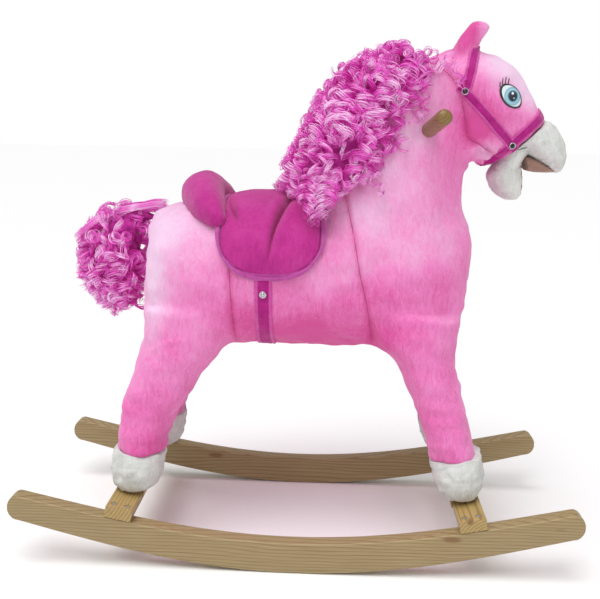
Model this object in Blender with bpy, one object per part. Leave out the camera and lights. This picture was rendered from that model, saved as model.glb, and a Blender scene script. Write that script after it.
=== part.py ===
"""A child's plush rocking horse: a timber frame of two rockers, two crossbars, four splayed posts, a seat
board and a neck board, wrapped in stuffed plush, with a motor-driven lower jaw and tail.

Axes: +X towards the horse's head, +Y to the horse's left, +Z up. The origin is on the floor, under the
middle of the rockers, where the horse balances. Metres throughout.

Every soft shape is a loft of rings. A ring is a "station": its two ends in the XZ plane (the rear or
upper end first), its half width in Y, and the Y of its middle.
"""

import math

import bmesh
import bpy
from mathutils import Matrix, Vector

# ---------------------------------------------------------------- clearances
GAP = 0.0005          # between any two touching pieces
PIN_PLAY = 0.00008    # radial play of the jaw on its pin
SWEEP_GAP = 0.0015    # between the head and the jaw as the jaw swings
BEYOND = 0.5          # a length past the end of every piece, for cutters

# ---------------------------------------------------------------- rockers
ROCKER_LENGTH = 0.740
ROCKER_SPREAD = 0.300     # outer face to outer face
ROCKER_THICK = 0.022
ROCKER_DEPTH = 0.041      # height of the board at mid length
ROCKER_CURVE = 0.5816     # 1/m: half the curvature of the running edge at mid length
ROCKER_RELAX = 0.8427     # 1/m^3: how much the running edge flattens towards the tips
ROCKER_TAPER = 0.060      # 1/m: how much shallower the board gets towards the tips
ROCKER_FLAT = (-0.030, 0.045)   # the flat of the running edge, under the balance point
ROCKER_TIP = 0.013        # length of the rounded tip
ROCKER_STEPS = 26

# ---------------------------------------------------------------- crossbars and legs
CROSSBAR_WIDTH = 0.035
CROSSBAR_THICK = 0.016
FRONT_BAR_X = 0.2315      # middle of the front crossbar, on the rockers
REAR_BAR_X = -0.2265
POST_WIDTH = 0.032
POST_THICK = 0.024
POST_TOP = 0.392          # the underside of the seat board rests here
POST_FOOT_Y = 0.079       # middle of a post where it stands on its crossbar
POST_SPLAY = 0.090        # how far a post leans outwards per metre down
FRONT_FOOT_X = 0.2240     # middle of a front post where it stands on its crossbar
FRONT_RAKE = 0.290
REAR_FOOT_X = -0.2200
REAR_RAKE = 0.315
SCREW_RADIUS = 0.0021
SCREW_HEAD_RADIUS = 0.0038
SCREW_LENGTH = 0.034
SCREW_HEAD_DEPTH = 0.0028
SCREW_POINT = 0.004       # length of its tapered end
SCREW_SIDES = 8
SCREW_SINK = 0.0006       # of the heads below the wood
SCREW_PITCH = 0.018       # between the two screws at one end of a crossbar

# ---------------------------------------------------------------- body frame
SEAT_BOARD_X = (-0.160, 0.150)
SEAT_BOARD_HALF_WIDTH = 0.066
SEAT_BOARD_THICK = 0.018
NECK_BOARD_THICK = 0.018
NECK_BOARD_OUTLINE = ((0.080, 0.0), (0.148, 0.0), (0.172, 0.090), (0.194, 0.172),
                      (0.212, 0.200), (0.166, 0.214), (0.132, 0.166), (0.104, 0.090))

# ---------------------------------------------------------------- handles
HANDLE_RADIUS = 0.0095
HANDLE_REACH = 0.130      # Y of the domed end
HANDLE_AT = (0.1532, 0.5546)
HANDLE_RISE = 0.218       # rise per metre outwards
HANDLE_FORWARD = 0.145

# ---------------------------------------------------------------- plush shapes
SQUARENESS = 2.3          # power of the superellipse that every ring is: 2 is an ellipse
SKIN_SIDES = 24           # points round a ring of the torso, neck and head
MUZZLE_SIDES = 22
HAIR_SIDES = 22
CANTLE_SIDES = 20
JAW_SIDES = 18
LIMB_SIDES = 16           # of a sleeve, cuff, ear, palate or tail
TORSO = (
    ((-0.2055, 0.415), (-0.2065, 0.375), 0.030, 0), ((-0.198, 0.448), (-0.205, 0.320), 0.066, 0),
    ((-0.180, 0.459), (-0.190, 0.290), 0.087, 0), ((-0.140, 0.464), (-0.145, 0.273), 0.100, 0),
    ((-0.080, 0.470), (-0.080, 0.274), 0.105, 0), ((0.000, 0.472), (0.000, 0.275), 0.105, 0),
    ((0.070, 0.478), (0.070, 0.275), 0.104, 0), ((0.130, 0.482), (0.130, 0.275), 0.100, 0),
    ((0.180, 0.482), (0.180, 0.281), 0.089, 0), ((0.212, 0.466), (0.210, 0.300), 0.068, 0),
    ((0.2265, 0.420), (0.2255, 0.350), 0.034, 0),
)
NECK = (
    ((0.020, 0.440), (0.215, 0.420), 0.086, 0), ((0.040, 0.502), (0.2155, 0.462), 0.078, 0),
    ((0.060, 0.552), (0.2145, 0.492), 0.068, 0), ((0.084, 0.600), (0.216, 0.525), 0.061, 0),
    ((0.110, 0.637), (0.222, 0.560), 0.057, 0), ((0.146, 0.656), (0.222, 0.600), 0.050, 0),
)
HEAD = (
    ((0.150, 0.640), (0.185, 0.575), 0.040, 0), ((0.166, 0.657), (0.195, 0.552), 0.052, 0),
    ((0.196, 0.666), (0.213, 0.533), 0.060, 0), ((0.230, 0.664), (0.232, 0.524), 0.060, 0),
    ((0.260, 0.652), (0.243, 0.524), 0.055, 0), ((0.285, 0.630), (0.249, 0.525), 0.049, 0),
    ((0.304, 0.598), (0.253, 0.5265), 0.043, 0), ((0.315, 0.5800), (0.260, 0.528), 0.040, 0),
)
MUZZLE = (
    ((0.3156, 0.5795), (0.2618, 0.5290), 0.0395, 0), ((0.3235, 0.5765), (0.2800, 0.5395), 0.0410, 0),
    ((0.3345, 0.5640), (0.2950, 0.5330), 0.0420, 0), ((0.3418, 0.5480), (0.3100, 0.5240), 0.0400, 0),
    ((0.3440, 0.5310), (0.3240, 0.5160), 0.0340, 0), ((0.3415, 0.5180), (0.3330, 0.5130), 0.0180, 0),
)
PALATE = (
    ((0.2900, 0.5360), (0.2960, 0.5135), 0.0290, 0), ((0.3020, 0.5330), (0.3040, 0.5120), 0.0320, 0),
    ((0.3180, 0.5240), (0.3190, 0.5115), 0.0300, 0), ((0.3300, 0.5170), (0.3305, 0.5120), 0.0180, 0),
)
JAW = (
    ((0.2530, 0.5210), (0.2845, 0.5320), 0.0260, 0), ((0.2455, 0.5080), (0.2890, 0.5180), 0.0320, 0),
    ((0.2500, 0.4930), (0.2910, 0.4990), 0.0330, 0), ((0.2600, 0.4815), (0.2905, 0.4850), 0.0280, 0),
    ((0.2700, 0.4760), (0.2860, 0.4770), 0.0160, 0),
)
EAR = (
    ((0.184, 0.648), (0.216, 0.650), 0.016, 0.0230), ((0.190, 0.669), (0.2155, 0.664), 0.014, 0.0235),
    ((0.201, 0.686), (0.2225, 0.675), 0.012, 0.0240), ((0.213, 0.6975), (0.2300, 0.6840), 0.010, 0.0240),
    ((0.2260, 0.6995), (0.2345, 0.6920), 0.006, 0.0240),
)
LEFT_EAR_DROP = 0.0060    # the left ear has flopped this much lower
MANE = (
    ((-0.022, 0.489), (0.052, 0.487), 0.048, 0), ((-0.008, 0.530), (0.088, 0.502), 0.080, 0),
    ((0.020, 0.592), (0.118, 0.540), 0.084, 0), ((0.047, 0.632), (0.128, 0.582), 0.078, 0),
    ((0.085, 0.658), (0.146, 0.612), 0.070, 0), ((0.128, 0.670), (0.166, 0.644), 0.052, 0),
)
TAIL_HAIR = (
    ((-0.256, 0.456), (-0.214, 0.447), 0.020, 0), ((-0.280, 0.434), (-0.219, 0.420), 0.034, 0),
    ((-0.298, 0.405), (-0.221, 0.388), 0.041, 0), ((-0.303, 0.375), (-0.221, 0.358), 0.042, 0),
    ((-0.290, 0.345), (-0.224, 0.330), 0.036, 0), ((-0.262, 0.312), (-0.230, 0.308), 0.018, 0),
)
FRONT_SLEEVE = (
    ((0.088, 0.335), (0.212, 0.325), 0.046, 0.058), ((0.1006, 0.296), (0.2080, 0.280), 0.044, 0.062),
    ((0.1208, 0.274), (0.2096, 0.262), 0.042, 0.065), ((0.1429, 0.240), (0.2180, 0.228), 0.039, 0.069),
    ((0.1591, 0.199), (0.2300, 0.186), 0.036, 0.073), ((0.1722, 0.162), (0.2385, 0.149), 0.0345, 0.0765),
    ((0.1800, 0.132), (0.2450, 0.138), 0.0340, 0.0785),
)
REAR_SLEEVE = (
    ((-0.205, 0.330), (-0.088, 0.335), 0.046, 0.058), ((-0.2060, 0.293), (-0.0960, 0.283), 0.044, 0.062),
    ((-0.2166, 0.255), (-0.1170, 0.254), 0.041, 0.067), ((-0.2286, 0.213), (-0.1499, 0.205), 0.037, 0.072),
    ((-0.2398, 0.160), (-0.1721, 0.161), 0.0345, 0.0765), ((-0.2440, 0.134), (-0.1780, 0.131), 0.0340, 0.0785),
)
FRONT_CUFF = (
    ((0.1795, 0.133), (0.2455, 0.139), 0.0345, 0.0785), ((0.1840, 0.114), (0.2495, 0.119), 0.0355, 0.0800),
    ((0.1925, 0.095), (0.2480, 0.100), 0.0325, 0.0805), ((0.2020, 0.0845), (0.2430, 0.0885), 0.0260, 0.0805),
)
REAR_CUFF = (
    ((-0.2445, 0.135), (-0.1775, 0.132), 0.0345, 0.0785), ((-0.2480, 0.112), (-0.1800, 0.112), 0.0355, 0.0800),
    ((-0.2470, 0.094), (-0.1860, 0.091), 0.0325, 0.0805), ((-0.2420, 0.0850), (-0.1970, 0.0830), 0.0260, 0.0805),
)
SADDLE_X = (-0.107, 0.035)
SADDLE_THICK = 0.0115
DRAPE_LIFT = 0.0024       # of the saddle and the girth off the torso
DRAPE_STEPS = 20          # across the saddle or the girth, from one side to the other
SADDLE_DROP = 0.376       # height of the flap's lowest point
SADDLE_RISE = 0.072       # how much higher the flap ends are
CANTLE = (
    ((-0.1630, 0.4740), (-0.1560, 0.4440), 0.058, 0), ((-0.1570, 0.4910), (-0.1440, 0.4440), 0.074, 0),
    ((-0.1440, 0.5010), (-0.1300, 0.4450), 0.082, 0), ((-0.1290, 0.5030), (-0.1180, 0.4460), 0.082, 0),
    ((-0.1140, 0.4960), (-0.1080, 0.4520), 0.070, 0),
)
GIRTH_X = -0.043
GIRTH_WIDTH = 0.022
STRAP_THICK = 0.0025

# ---------------------------------------------------------------- bridle
NOSEBAND_LINE = ((0.3085, 0.5880), (0.2500, 0.5310))
CROWN_LINE = ((0.2170, 0.6680), (0.2010, 0.6100))
RIVET_HIGH = (0.2015, 0.6120)
RIVET_LOW = (0.2670, 0.5475)
BAND_WIDTH = 0.013
BAND_OVERLAP = 0.007      # how far the crown strap runs below its rivet
BAND_ENDS = 0.004         # how far the skins that a strap is cut from run past the head's ends
RIVET_RADIUS = 0.0038
RIVET_RISE = 0.0030
RIVET_LIFT = 0.0030       # of a rivet off the face, so that its flat seat clears the curved strap
EYE_AT = (0.2610, 0.6080)
EYE_HALF = (0.0125, 0.0165)
EYE_SWELL = 0.0030        # how far the eye stands out of the face
GIRTH_TOP = 0.3700        # height of the strap's ends, just under the flaps
STUD_HEIGHT = 0.3590
STUD_RADIUS = 0.0045

# ---------------------------------------------------------------- mechanisms
JAW_PIVOT = (0.2710, 0.5385)
JAW_TRAVEL = 15           # degrees from wide open to nearly shut
JAW_PIN_RADIUS = 0.0020
JAW_EYE_RADIUS = 0.0055   # of the arm round its pin
JAW_ARM_HALF_WIDTH = 0.0090
JAW_ARM_THICK = 0.0070
JAW_ARM_LENGTH = 0.0440
JAW_ARM_SHOULDER = 0.0100  # from the pin down to where the arm starts to narrow
JAW_ARM_LEAN = 0.0040     # how far its tip lies forward of the pin
JAW_ROOM = 0.0120         # half the hollow round the hinge
LUG_THICK = 0.0035
LUG_HALF_LENGTH = 0.0065
LUG_SETBACK = 0.0080      # how far the lugs run back under the gearbox
GEARBOX_X = (0.2260, 0.2620)
GEARBOX_Z = (0.5560, 0.6050)
GEARBOX_HALF_WIDTH = 0.0170
TAIL_PIVOT_X = -0.1800
TAIL_TRAVEL = 12          # degrees to each side
TAIL_HUB_RADIUS = 0.0060
TAIL_HUB_Z = (0.4230, 0.4430)
TAIL_ROD_RADIUS = 0.0035
TAIL_ROD_END = (-0.2560, 0.4080)
TAIL_GEARBOX_HALF = (0.0155, 0.0160)
TAIL_GEARBOX_HEIGHT = 0.0280
TAIL_PLAY = 0.0015        # round the tail rod as it wags
BATTERY_BOX = (0.078, 0.038, 0.030)     # length, width, height
BATTERY_BOX_X = -0.100
BATTERY_BOX_FLOOR = 0.2745              # flush with the belly
DOOR_LENGTH = 0.058
DOOR_THICK = 0.0025
SWITCH = (0.0090, 0.0050, 0.0055)
SWITCH_TRAVEL = 0.004
SWITCH_DEPTH = 0.0030     # how deep its slot is


def clear_scene():
    for obj in list(bpy.data.objects):
        bpy.data.objects.remove(obj, do_unlink=True)


def material(name, color, roughness, metallic=0.0):
    made = bpy.data.materials.new(name)
    made.use_nodes = True
    shader = made.node_tree.nodes["Principled BSDF"]
    shader.inputs["Base Color"].default_value = (*color, 1)
    shader.inputs["Roughness"].default_value = roughness
    shader.inputs["Metallic"].default_value = metallic
    made.diffuse_color = (*color, 1)
    return made


# ---------------------------------------------------------------- building blocks
def add_object(name, mesh_data, looks=None):
    """An object from a bmesh; without a material it is a cutter."""
    bmesh.ops.recalc_face_normals(mesh_data, faces=mesh_data.faces)
    mesh = bpy.data.meshes.new(name)
    mesh_data.to_mesh(mesh)
    mesh_data.free()
    obj = bpy.data.objects.new(name, mesh)
    bpy.context.scene.collection.objects.link(obj)
    if looks is None:
        obj.hide_render = True
        obj.display_type = "WIRE"
    else:
        mesh.materials.append(looks)
        mesh.shade_smooth()
        mesh.set_sharp_from_angle(angle=math.radians(40))
    return obj


def combine(obj, other, operation):
    step = obj.modifiers.new(operation.title() + " " + other.name, "BOOLEAN")
    step.operation = operation
    step.solver = "EXACT"
    step.object = other


def cut(obj, *cutters):
    for cutter in cutters:
        combine(obj, cutter, "DIFFERENCE")


def blend_stations(stations, steps):
    """Stations on a smooth curve through the given ones (Catmull-Rom), so that a loft has no kinks."""
    flat = [Vector((a[0], a[1], b[0], b[1], half, middle)) for a, b, half, middle in stations]
    smooth = []
    for index in range(len(flat) - 1):
        before = flat[max(index - 1, 0)]
        start, end = flat[index], flat[index + 1]
        after = flat[min(index + 2, len(flat) - 1)]
        for step in range(steps):
            t = step / steps
            smooth.append(0.5 * (2 * start + (end - before) * t
                                 + (2 * before - 5 * start + 4 * end - after) * t ** 2
                                 + (3 * start - before - 3 * end + after) * t ** 3))
    return smooth + [flat[-1]]


def squared(turn):
    """Cosine and sine of an angle, pushed out from the circle to the superellipse."""
    return [math.copysign(abs(part) ** (2 / SQUARENESS), part) for part in (math.cos(turn), math.sin(turn))]


def ring_points(station, count, grow):
    """Points of one ring: a superellipse whose long axis joins the station's two ends."""
    first, second = Vector((station[0], 0, station[1])), Vector((station[2], 0, station[3]))
    middle = (first + second) / 2 + Vector((0, station[5], 0))
    long_half = (first - second).length / 2 + grow
    along = (first - second).normalized()
    points = []
    for index in range(count):
        turn = 2 * math.pi * index / count
        up, side = squared(turn)
        points.append(middle + along * long_half * up + Vector((0, side * (station[4] + grow), 0)))
    return points


def loft_mesh(stations, count, grow=0.0, ends=0.0, steps=2):
    """A closed bmesh through the stations. grow swells it; ends pushes its first and last rings outwards."""
    made = bmesh.new()
    rings = [ring_points(s, count, grow) for s in blend_stations(stations, steps)]
    middles = [sum(ring, Vector()) / count for ring in rings]
    first_push = (middles[0] - middles[1]).normalized() * (grow + ends)
    last_push = (middles[-1] - middles[-2]).normalized() * (grow + ends)
    rings[0] = [point + first_push for point in rings[0]]
    rings[-1] = [point + last_push for point in rings[-1]]
    loops = [[made.verts.new(point) for point in ring] for ring in rings]
    for lower, upper in zip(loops, loops[1:]):
        for index in range(count):
            after = (index + 1) % count
            made.faces.new((lower[index], lower[after], upper[after], upper[index]))
    made.faces.new(loops[0])
    made.faces.new(loops[-1])
    return made


def box_mesh(low, high):
    made = bmesh.new()
    bmesh.ops.create_cube(made, size=1)
    size = Vector(high) - Vector(low)
    middle = (Vector(high) + Vector(low)) / 2
    bmesh.ops.scale(made, vec=size, verts=made.verts)
    bmesh.ops.translate(made, vec=middle, verts=made.verts)
    return made


def rod_mesh(start, end, radius, sides=16, end_radius=None):
    made = bmesh.new()
    run = Vector(end) - Vector(start)
    turn = run.to_track_quat("Z", "Y").to_matrix().to_4x4()
    place = Matrix.Translation((Vector(start) + Vector(end)) / 2) @ turn
    bmesh.ops.create_cone(made, cap_ends=True, segments=sides, radius1=radius,
                          radius2=radius if end_radius is None else end_radius, depth=run.length, matrix=place)
    return made


def board_mesh(outline, low_y, high_y):
    """A board cut from flat stock: an outline in XZ given thickness along Y."""
    made = bmesh.new()
    near = [made.verts.new((x, low_y, z)) for x, z in outline]
    face = made.faces.new(near)
    grown = bmesh.ops.extrude_face_region(made, geom=[face])["geom"]
    moved = [item for item in grown if isinstance(item, bmesh.types.BMVert)]
    bmesh.ops.translate(made, vec=(0, high_y - low_y, 0), verts=moved)
    return made


def mirrored(mesh_data, side):
    """The same shape on the horse's left (side 1) or right (side -1)."""
    if side < 0:
        bmesh.ops.scale(mesh_data, vec=(1, -1, 1), verts=mesh_data.verts)
        bmesh.ops.reverse_faces(mesh_data, faces=mesh_data.faces)
    return mesh_data


def side_name(side):
    return "left" if side > 0 else "right"


# ---------------------------------------------------------------- rockers and legs
def running_curve(x):
    return ROCKER_CURVE * x ** 2 - ROCKER_RELAX * x ** 4


def running_edge(x):
    """Height of a rocker's lower edge at x: a long curve with a short flat where the horse balances."""
    if ROCKER_FLAT[0] <= x <= ROCKER_FLAT[1]:
        return 0.0
    return max(0.0, running_curve(x) - running_curve(ROCKER_FLAT[0]))


def top_edge(x):
    return running_curve(x) + ROCKER_DEPTH - ROCKER_TAPER * x ** 2


def rocker_outline():
    """Points round a rocker board: its running edge, the rounded front tip, its top edge, the rear tip."""
    half = ROCKER_LENGTH / 2 - ROCKER_TIP
    stations = [-half + 2 * half * i / ROCKER_STEPS for i in range(ROCKER_STEPS + 1)]
    running = [x for x in stations if not ROCKER_FLAT[0] - 0.01 < x < ROCKER_FLAT[1] + 0.01]
    lower = [(x, running_edge(x)) for x in sorted([*running, *ROCKER_FLAT])]
    upper = [(x, top_edge(x)) for x in reversed(stations)]
    rise = (top_edge(half) - running_edge(half)) / 2
    middle = running_edge(half) + rise
    tips = [[(end * (half + ROCKER_TIP * math.cos(a)), middle + end * rise * math.sin(a))
             for a in (-math.pi / 3, -math.pi / 6, 0, math.pi / 6, math.pi / 3)] for end in (1, -1)]
    return lower + tips[0] + upper + tips[1]


def rocker(side, looks):
    outer = ROCKER_SPREAD / 2
    shape = mirrored(board_mesh(rocker_outline(), outer - ROCKER_THICK, outer), side)
    return add_object("rocker_" + side_name(side), shape, looks)


def crossbar_frame(front):
    """Middle of a crossbar's underside, and its direction along the rocker's top edge."""
    middle_x = FRONT_BAR_X if front else REAR_BAR_X
    half = CROSSBAR_WIDTH / 2
    rear, fore = top_edge(middle_x - half), top_edge(middle_x + half)
    along = Vector((CROSSBAR_WIDTH, 0, fore - rear)).normalized()
    return Vector((middle_x, 0, (rear + fore) / 2 + GAP)), along


def crossbar_mesh(front, grow=0.0):
    """A flat bar across both rockers, tilted to lie on their curved top edges."""
    seat, along = crossbar_frame(front)
    up = Vector((-along.z, 0, along.x))
    corners = []
    for a, height in ((-1, -grow), (1, -grow), (1, CROSSBAR_THICK + grow), (-1, CROSSBAR_THICK + grow)):
        corner = seat + along * a * (CROSSBAR_WIDTH / 2 + grow) + up * height
        corners.append((corner.x, corner.z))
    reach = ROCKER_SPREAD / 2 + grow
    return board_mesh(corners, -reach, reach)


def post_frame(front):
    """Where a left post's middle line meets the top of its crossbar, and its direction upwards."""
    foot_x, rake = (FRONT_FOOT_X, -FRONT_RAKE) if front else (REAR_FOOT_X, REAR_RAKE)
    seat, along = crossbar_frame(front)
    height = seat.z + CROSSBAR_THICK / along.x + (foot_x - seat.x) * along.z / along.x
    return Vector((foot_x, POST_FOOT_Y, height)), Vector((rake, -POST_SPLAY, 1)).normalized()


def post_mesh(front, grow=0.0):
    """A straight square-edged leg post, longer than it needs to be at both ends."""
    start, up = post_frame(front)
    across = Vector((1, 0, -up.x / up.z)).normalized()
    depth = up.cross(across).normalized()
    made = bmesh.new()
    rings = []
    for distance in (-CROSSBAR_THICK / 2, POST_TOP):
        middle = start + up * distance
        wide, thick = POST_WIDTH / 2 + grow, POST_THICK / 2 + grow
        rings.append([made.verts.new(middle + across * a * wide + depth * b * thick)
                      for a, b in ((1, 1), (-1, 1), (-1, -1), (1, -1))])
    made.faces.new(rings[0])
    made.faces.new(rings[1])
    for index in range(4):
        after = (index + 1) % 4
        made.faces.new((rings[0][index], rings[0][after], rings[1][after], rings[1][index]))
    return made


def screw_line(front, place):
    """Head of one crossbar screw (place is -1 or 1) and its direction down into the left rocker."""
    seat, along = crossbar_frame(front)
    down = Vector((along.z, 0, -along.x))
    head = seat + along * place * SCREW_PITCH / 2 - down * (CROSSBAR_THICK - SCREW_SINK)
    head.y = (ROCKER_SPREAD - ROCKER_THICK) / 2
    return head, down


def screw_mesh(front, place, grow=0.0):
    """Countersunk wood screw: a cone head that narrows to a round shank."""
    head, down = screw_line(front, place)
    profile = ((-grow, SCREW_HEAD_RADIUS), (SCREW_HEAD_DEPTH, SCREW_RADIUS),
               (SCREW_LENGTH - SCREW_POINT, SCREW_RADIUS), (SCREW_LENGTH + grow, SCREW_RADIUS * 0.4))
    return turned_mesh(head, down, [(distance, radius + grow) for distance, radius in profile], SCREW_SIDES)


def turned_mesh(start, run, profile, sides):
    """A closed turned shape about an axis, from (distance along it, radius) pairs."""
    turn = run.to_track_quat("Z", "Y").to_matrix()
    made = bmesh.new()
    angles = [2 * math.pi * i / sides for i in range(sides)]
    rings = [[made.verts.new(start + run * distance + turn @ Vector((math.cos(a), math.sin(a), 0)) * radius)
              for a in angles] for distance, radius in profile]
    for lower, upper in zip(rings, rings[1:]):
        for index in range(sides):
            after = (index + 1) % sides
            made.faces.new((lower[index], lower[after], upper[after], upper[index]))
    made.faces.new(rings[0])
    made.faces.new(rings[-1])
    return made


def access_mesh(front, place):
    """The countersink above a screw head, open to the outside."""
    head, down = screw_line(front, place)
    return rod_mesh(head + down * GAP, head - down * 2 * CROSSBAR_THICK, SCREW_HEAD_RADIUS + GAP, SCREW_SIDES)


def above_mesh(height):
    """Everything above a height."""
    return box_mesh((-BEYOND, -BEYOND, height), (BEYOND, BEYOND, 2 * BEYOND))


def lower_frame(wood, steel):
    """Rockers, crossbars with their screws, and the four posts."""
    boards = {side: rocker(side, wood) for side in (1, -1)}
    above = add_object("above_posts", above_mesh(POST_TOP))
    for front in (True, False):
        end_name = "front" if front else "rear"
        bar = add_object("crossbar_" + end_name, crossbar_mesh(front), wood)
        below = add_object("below_crossbar_" + end_name, crossbar_mesh(front, GAP))
        for side in (1, -1):
            name = f"{end_name}_{side_name(side)}"
            cut(add_object("leg_post_" + name, mirrored(post_mesh(front), side), wood), below, above)
            for number, place in enumerate((-1, 1), 1):
                screw = mirrored(screw_mesh(front, place), side)
                add_object(f"bar_screw_{name}_{number}", screw, steel)
                hole = add_object(f"screw_hole_{name}_{number}", mirrored(screw_mesh(front, place, GAP), side))
                access = mirrored(access_mesh(front, place), side)
                cut(bar, hole, add_object(f"screw_access_{name}_{number}", access))
                cut(boards[side], hole)


# ---------------------------------------------------------------- frame inside the body
def seat_board_span(grow=0.0):
    low = (SEAT_BOARD_X[0] - grow, -SEAT_BOARD_HALF_WIDTH - grow, POST_TOP + GAP - grow)
    high = (SEAT_BOARD_X[1] + grow, SEAT_BOARD_HALF_WIDTH + grow, POST_TOP + GAP + SEAT_BOARD_THICK + grow)
    return low, high


def neck_board_mesh(grow=0.0):
    """The upright plank that carries the handles and the head. grow is for the slot in the plush."""
    base = POST_TOP + 2 * GAP + SEAT_BOARD_THICK
    middle = sum((Vector(point) for point in NECK_BOARD_OUTLINE), Vector((0, 0))) / len(NECK_BOARD_OUTLINE)
    outline = []
    for point in NECK_BOARD_OUTLINE:
        swell = (Vector(point) - middle).normalized() * grow * 1.6
        outline.append((point[0] + swell.x, point[1] + swell.y + base))
    half = NECK_BOARD_THICK / 2 + grow
    return board_mesh(outline, -half, half)


def handle_mesh(grow=0.0):
    """A turned grip with a domed end, screwed to the side of the neck board."""
    root_y = NECK_BOARD_THICK / 2 + GAP
    root = Vector((HANDLE_AT[0], root_y, HANDLE_AT[1]))
    run = Vector((HANDLE_FORWARD, 1, HANDLE_RISE))
    length = (HANDLE_REACH - root_y - HANDLE_RADIUS / 2) * run.length
    run.normalize()
    radius = HANDLE_RADIUS + grow
    profile = [(0, radius), (length, radius)]
    profile += [(length + radius * math.sin(a) * 0.75, radius * math.cos(a)) for a in (0.5, 0.95, 1.3)]
    profile[0] = (-HANDLE_RADIUS / 2, radius)
    return turned_mesh(root, run, profile, 16)


# ---------------------------------------------------------------- mechanisms
def gearbox_mesh(grow=0.0):
    half = GEARBOX_HALF_WIDTH + grow
    low = (GEARBOX_X[0] - grow, -half, GEARBOX_Z[0] - grow)
    high = (GEARBOX_X[1] + grow, half, GEARBOX_Z[1] + grow)
    return box_mesh(low, high)


def lug_mesh(side):
    """One of the two ears under the gearbox that hold the jaw's pin."""
    inner = JAW_ARM_HALF_WIDTH + GAP
    low = (GEARBOX_X[1] - LUG_SETBACK, inner, JAW_PIVOT[1] - LUG_HALF_LENGTH)
    high = (JAW_PIVOT[0] + LUG_HALF_LENGTH, inner + LUG_THICK, GEARBOX_Z[0] + LUG_SETBACK / 2)
    return mirrored(box_mesh(low, high), side)


def jaw_arm_mesh(grow=0.0):
    """The plastic arm inside the lower jaw, from its hinge eye down to its tip."""
    x, z = JAW_PIVOT
    radius = JAW_EYE_RADIUS + grow
    outline = [(x + radius * math.cos(a), z + radius * math.sin(a))
               for a in (math.pi * i / 8 for i in range(9))]
    tip = z - JAW_ARM_LENGTH - grow
    shoulder = z - JAW_ARM_SHOULDER
    outline += [(x - radius, shoulder), (x + JAW_ARM_LEAN - grow, tip),
                (x + JAW_ARM_LEAN + JAW_ARM_THICK + grow, tip), (x + radius, shoulder)]
    half = JAW_ARM_HALF_WIDTH + grow
    return board_mesh(outline, -half, half)


def swung(mesh_data, degrees):
    """The same mesh with the jaw turned shut by so many degrees about its pin."""
    pivot = Vector((JAW_PIVOT[0], 0, JAW_PIVOT[1]))
    turn = Matrix.Rotation(math.radians(-degrees), 3, "Y")
    bmesh.ops.rotate(mesh_data, cent=pivot, matrix=turn, verts=mesh_data.verts)
    return mesh_data


def hinge_room_mesh():
    x, z = JAW_PIVOT
    half = JAW_ARM_HALF_WIDTH + LUG_THICK + 3 * GAP + 0.001
    rear = min(x - JAW_ROOM, GEARBOX_X[1] - LUG_SETBACK - GAP)
    return box_mesh((rear, -half, z - JAW_ROOM), (x + JAW_ROOM, half, GEARBOX_Z[0] + LUG_SETBACK))


def jaw_sweep():
    """Cutters that cover the space the jaw swings through."""
    steps = (0, JAW_TRAVEL / 2, JAW_TRAVEL)
    return [add_object(f"jaw_sweep_{i}", swung(loft_mesh(JAW, JAW_SIDES, grow=SWEEP_GAP), angle))
            for i, angle in enumerate(steps)]


def jaw_and_gearbox(plush, plastic, steel):
    """The jaw, its arm and its pin, and the gearbox that the pin is fixed in."""
    x, z = JAW_PIVOT
    pin_half = JAW_ARM_HALF_WIDTH + GAP + LUG_THICK + 0.001
    add_object("jaw_hinge_pin", rod_mesh((x, -pin_half, z), (x, pin_half, z), JAW_PIN_RADIUS), steel)
    eye = add_object("jaw_eye_hole", rod_mesh((x, -BEYOND, z), (x, BEYOND, z), JAW_PIN_RADIUS + PIN_PLAY))
    lug_hole = add_object("lug_hole", rod_mesh((x, -BEYOND, z), (x, BEYOND, z), JAW_PIN_RADIUS + GAP))
    box = add_object("mouth_gearbox", gearbox_mesh(), plastic)
    for side in (1, -1):
        combine(box, add_object("lug_" + side_name(side), lug_mesh(side)), "UNION")
    cut(box, lug_hole)
    cut(add_object("jaw_arm", jaw_arm_mesh(), plastic), eye)
    jaw = add_object("jaw_plush", loft_mesh(JAW, JAW_SIDES), plush)
    room = add_object("hinge_room", hinge_room_mesh())
    cut(jaw, add_object("jaw_arm_slot", jaw_arm_mesh(GAP)), room)
    return room


def tail_rod_mesh(grow=0.0, wag=0.0):
    """The tail's rod, from the hub inside the rump out into the hair."""
    height = (TAIL_HUB_Z[0] + TAIL_HUB_Z[1]) / 2
    start = Vector((TAIL_PIVOT_X, 0, height))
    end = Vector((TAIL_ROD_END[0], 0, TAIL_ROD_END[1]))
    along = (end - start).normalized()
    made = rod_mesh(start, end + along * grow, TAIL_ROD_RADIUS + grow, 12)
    turn = Matrix.Rotation(math.radians(wag), 3, "Z")
    bmesh.ops.rotate(made, cent=start, matrix=turn, verts=made.verts)
    return made


def tail_hub_mesh(grow=0.0):
    low, high = TAIL_HUB_Z
    return rod_mesh((TAIL_PIVOT_X, 0, low - grow), (TAIL_PIVOT_X, 0, high + grow), TAIL_HUB_RADIUS + grow)


def tail_gearbox_mesh(grow=0.0):
    half_x, half_y = TAIL_GEARBOX_HALF
    top = TAIL_HUB_Z[0] - GAP
    low = (TAIL_PIVOT_X - half_x - grow, -half_y - grow, top - TAIL_GEARBOX_HEIGHT - grow)
    high = (TAIL_PIVOT_X + half_x + grow, half_y + grow, top + grow)
    return box_mesh(low, high)


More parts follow.
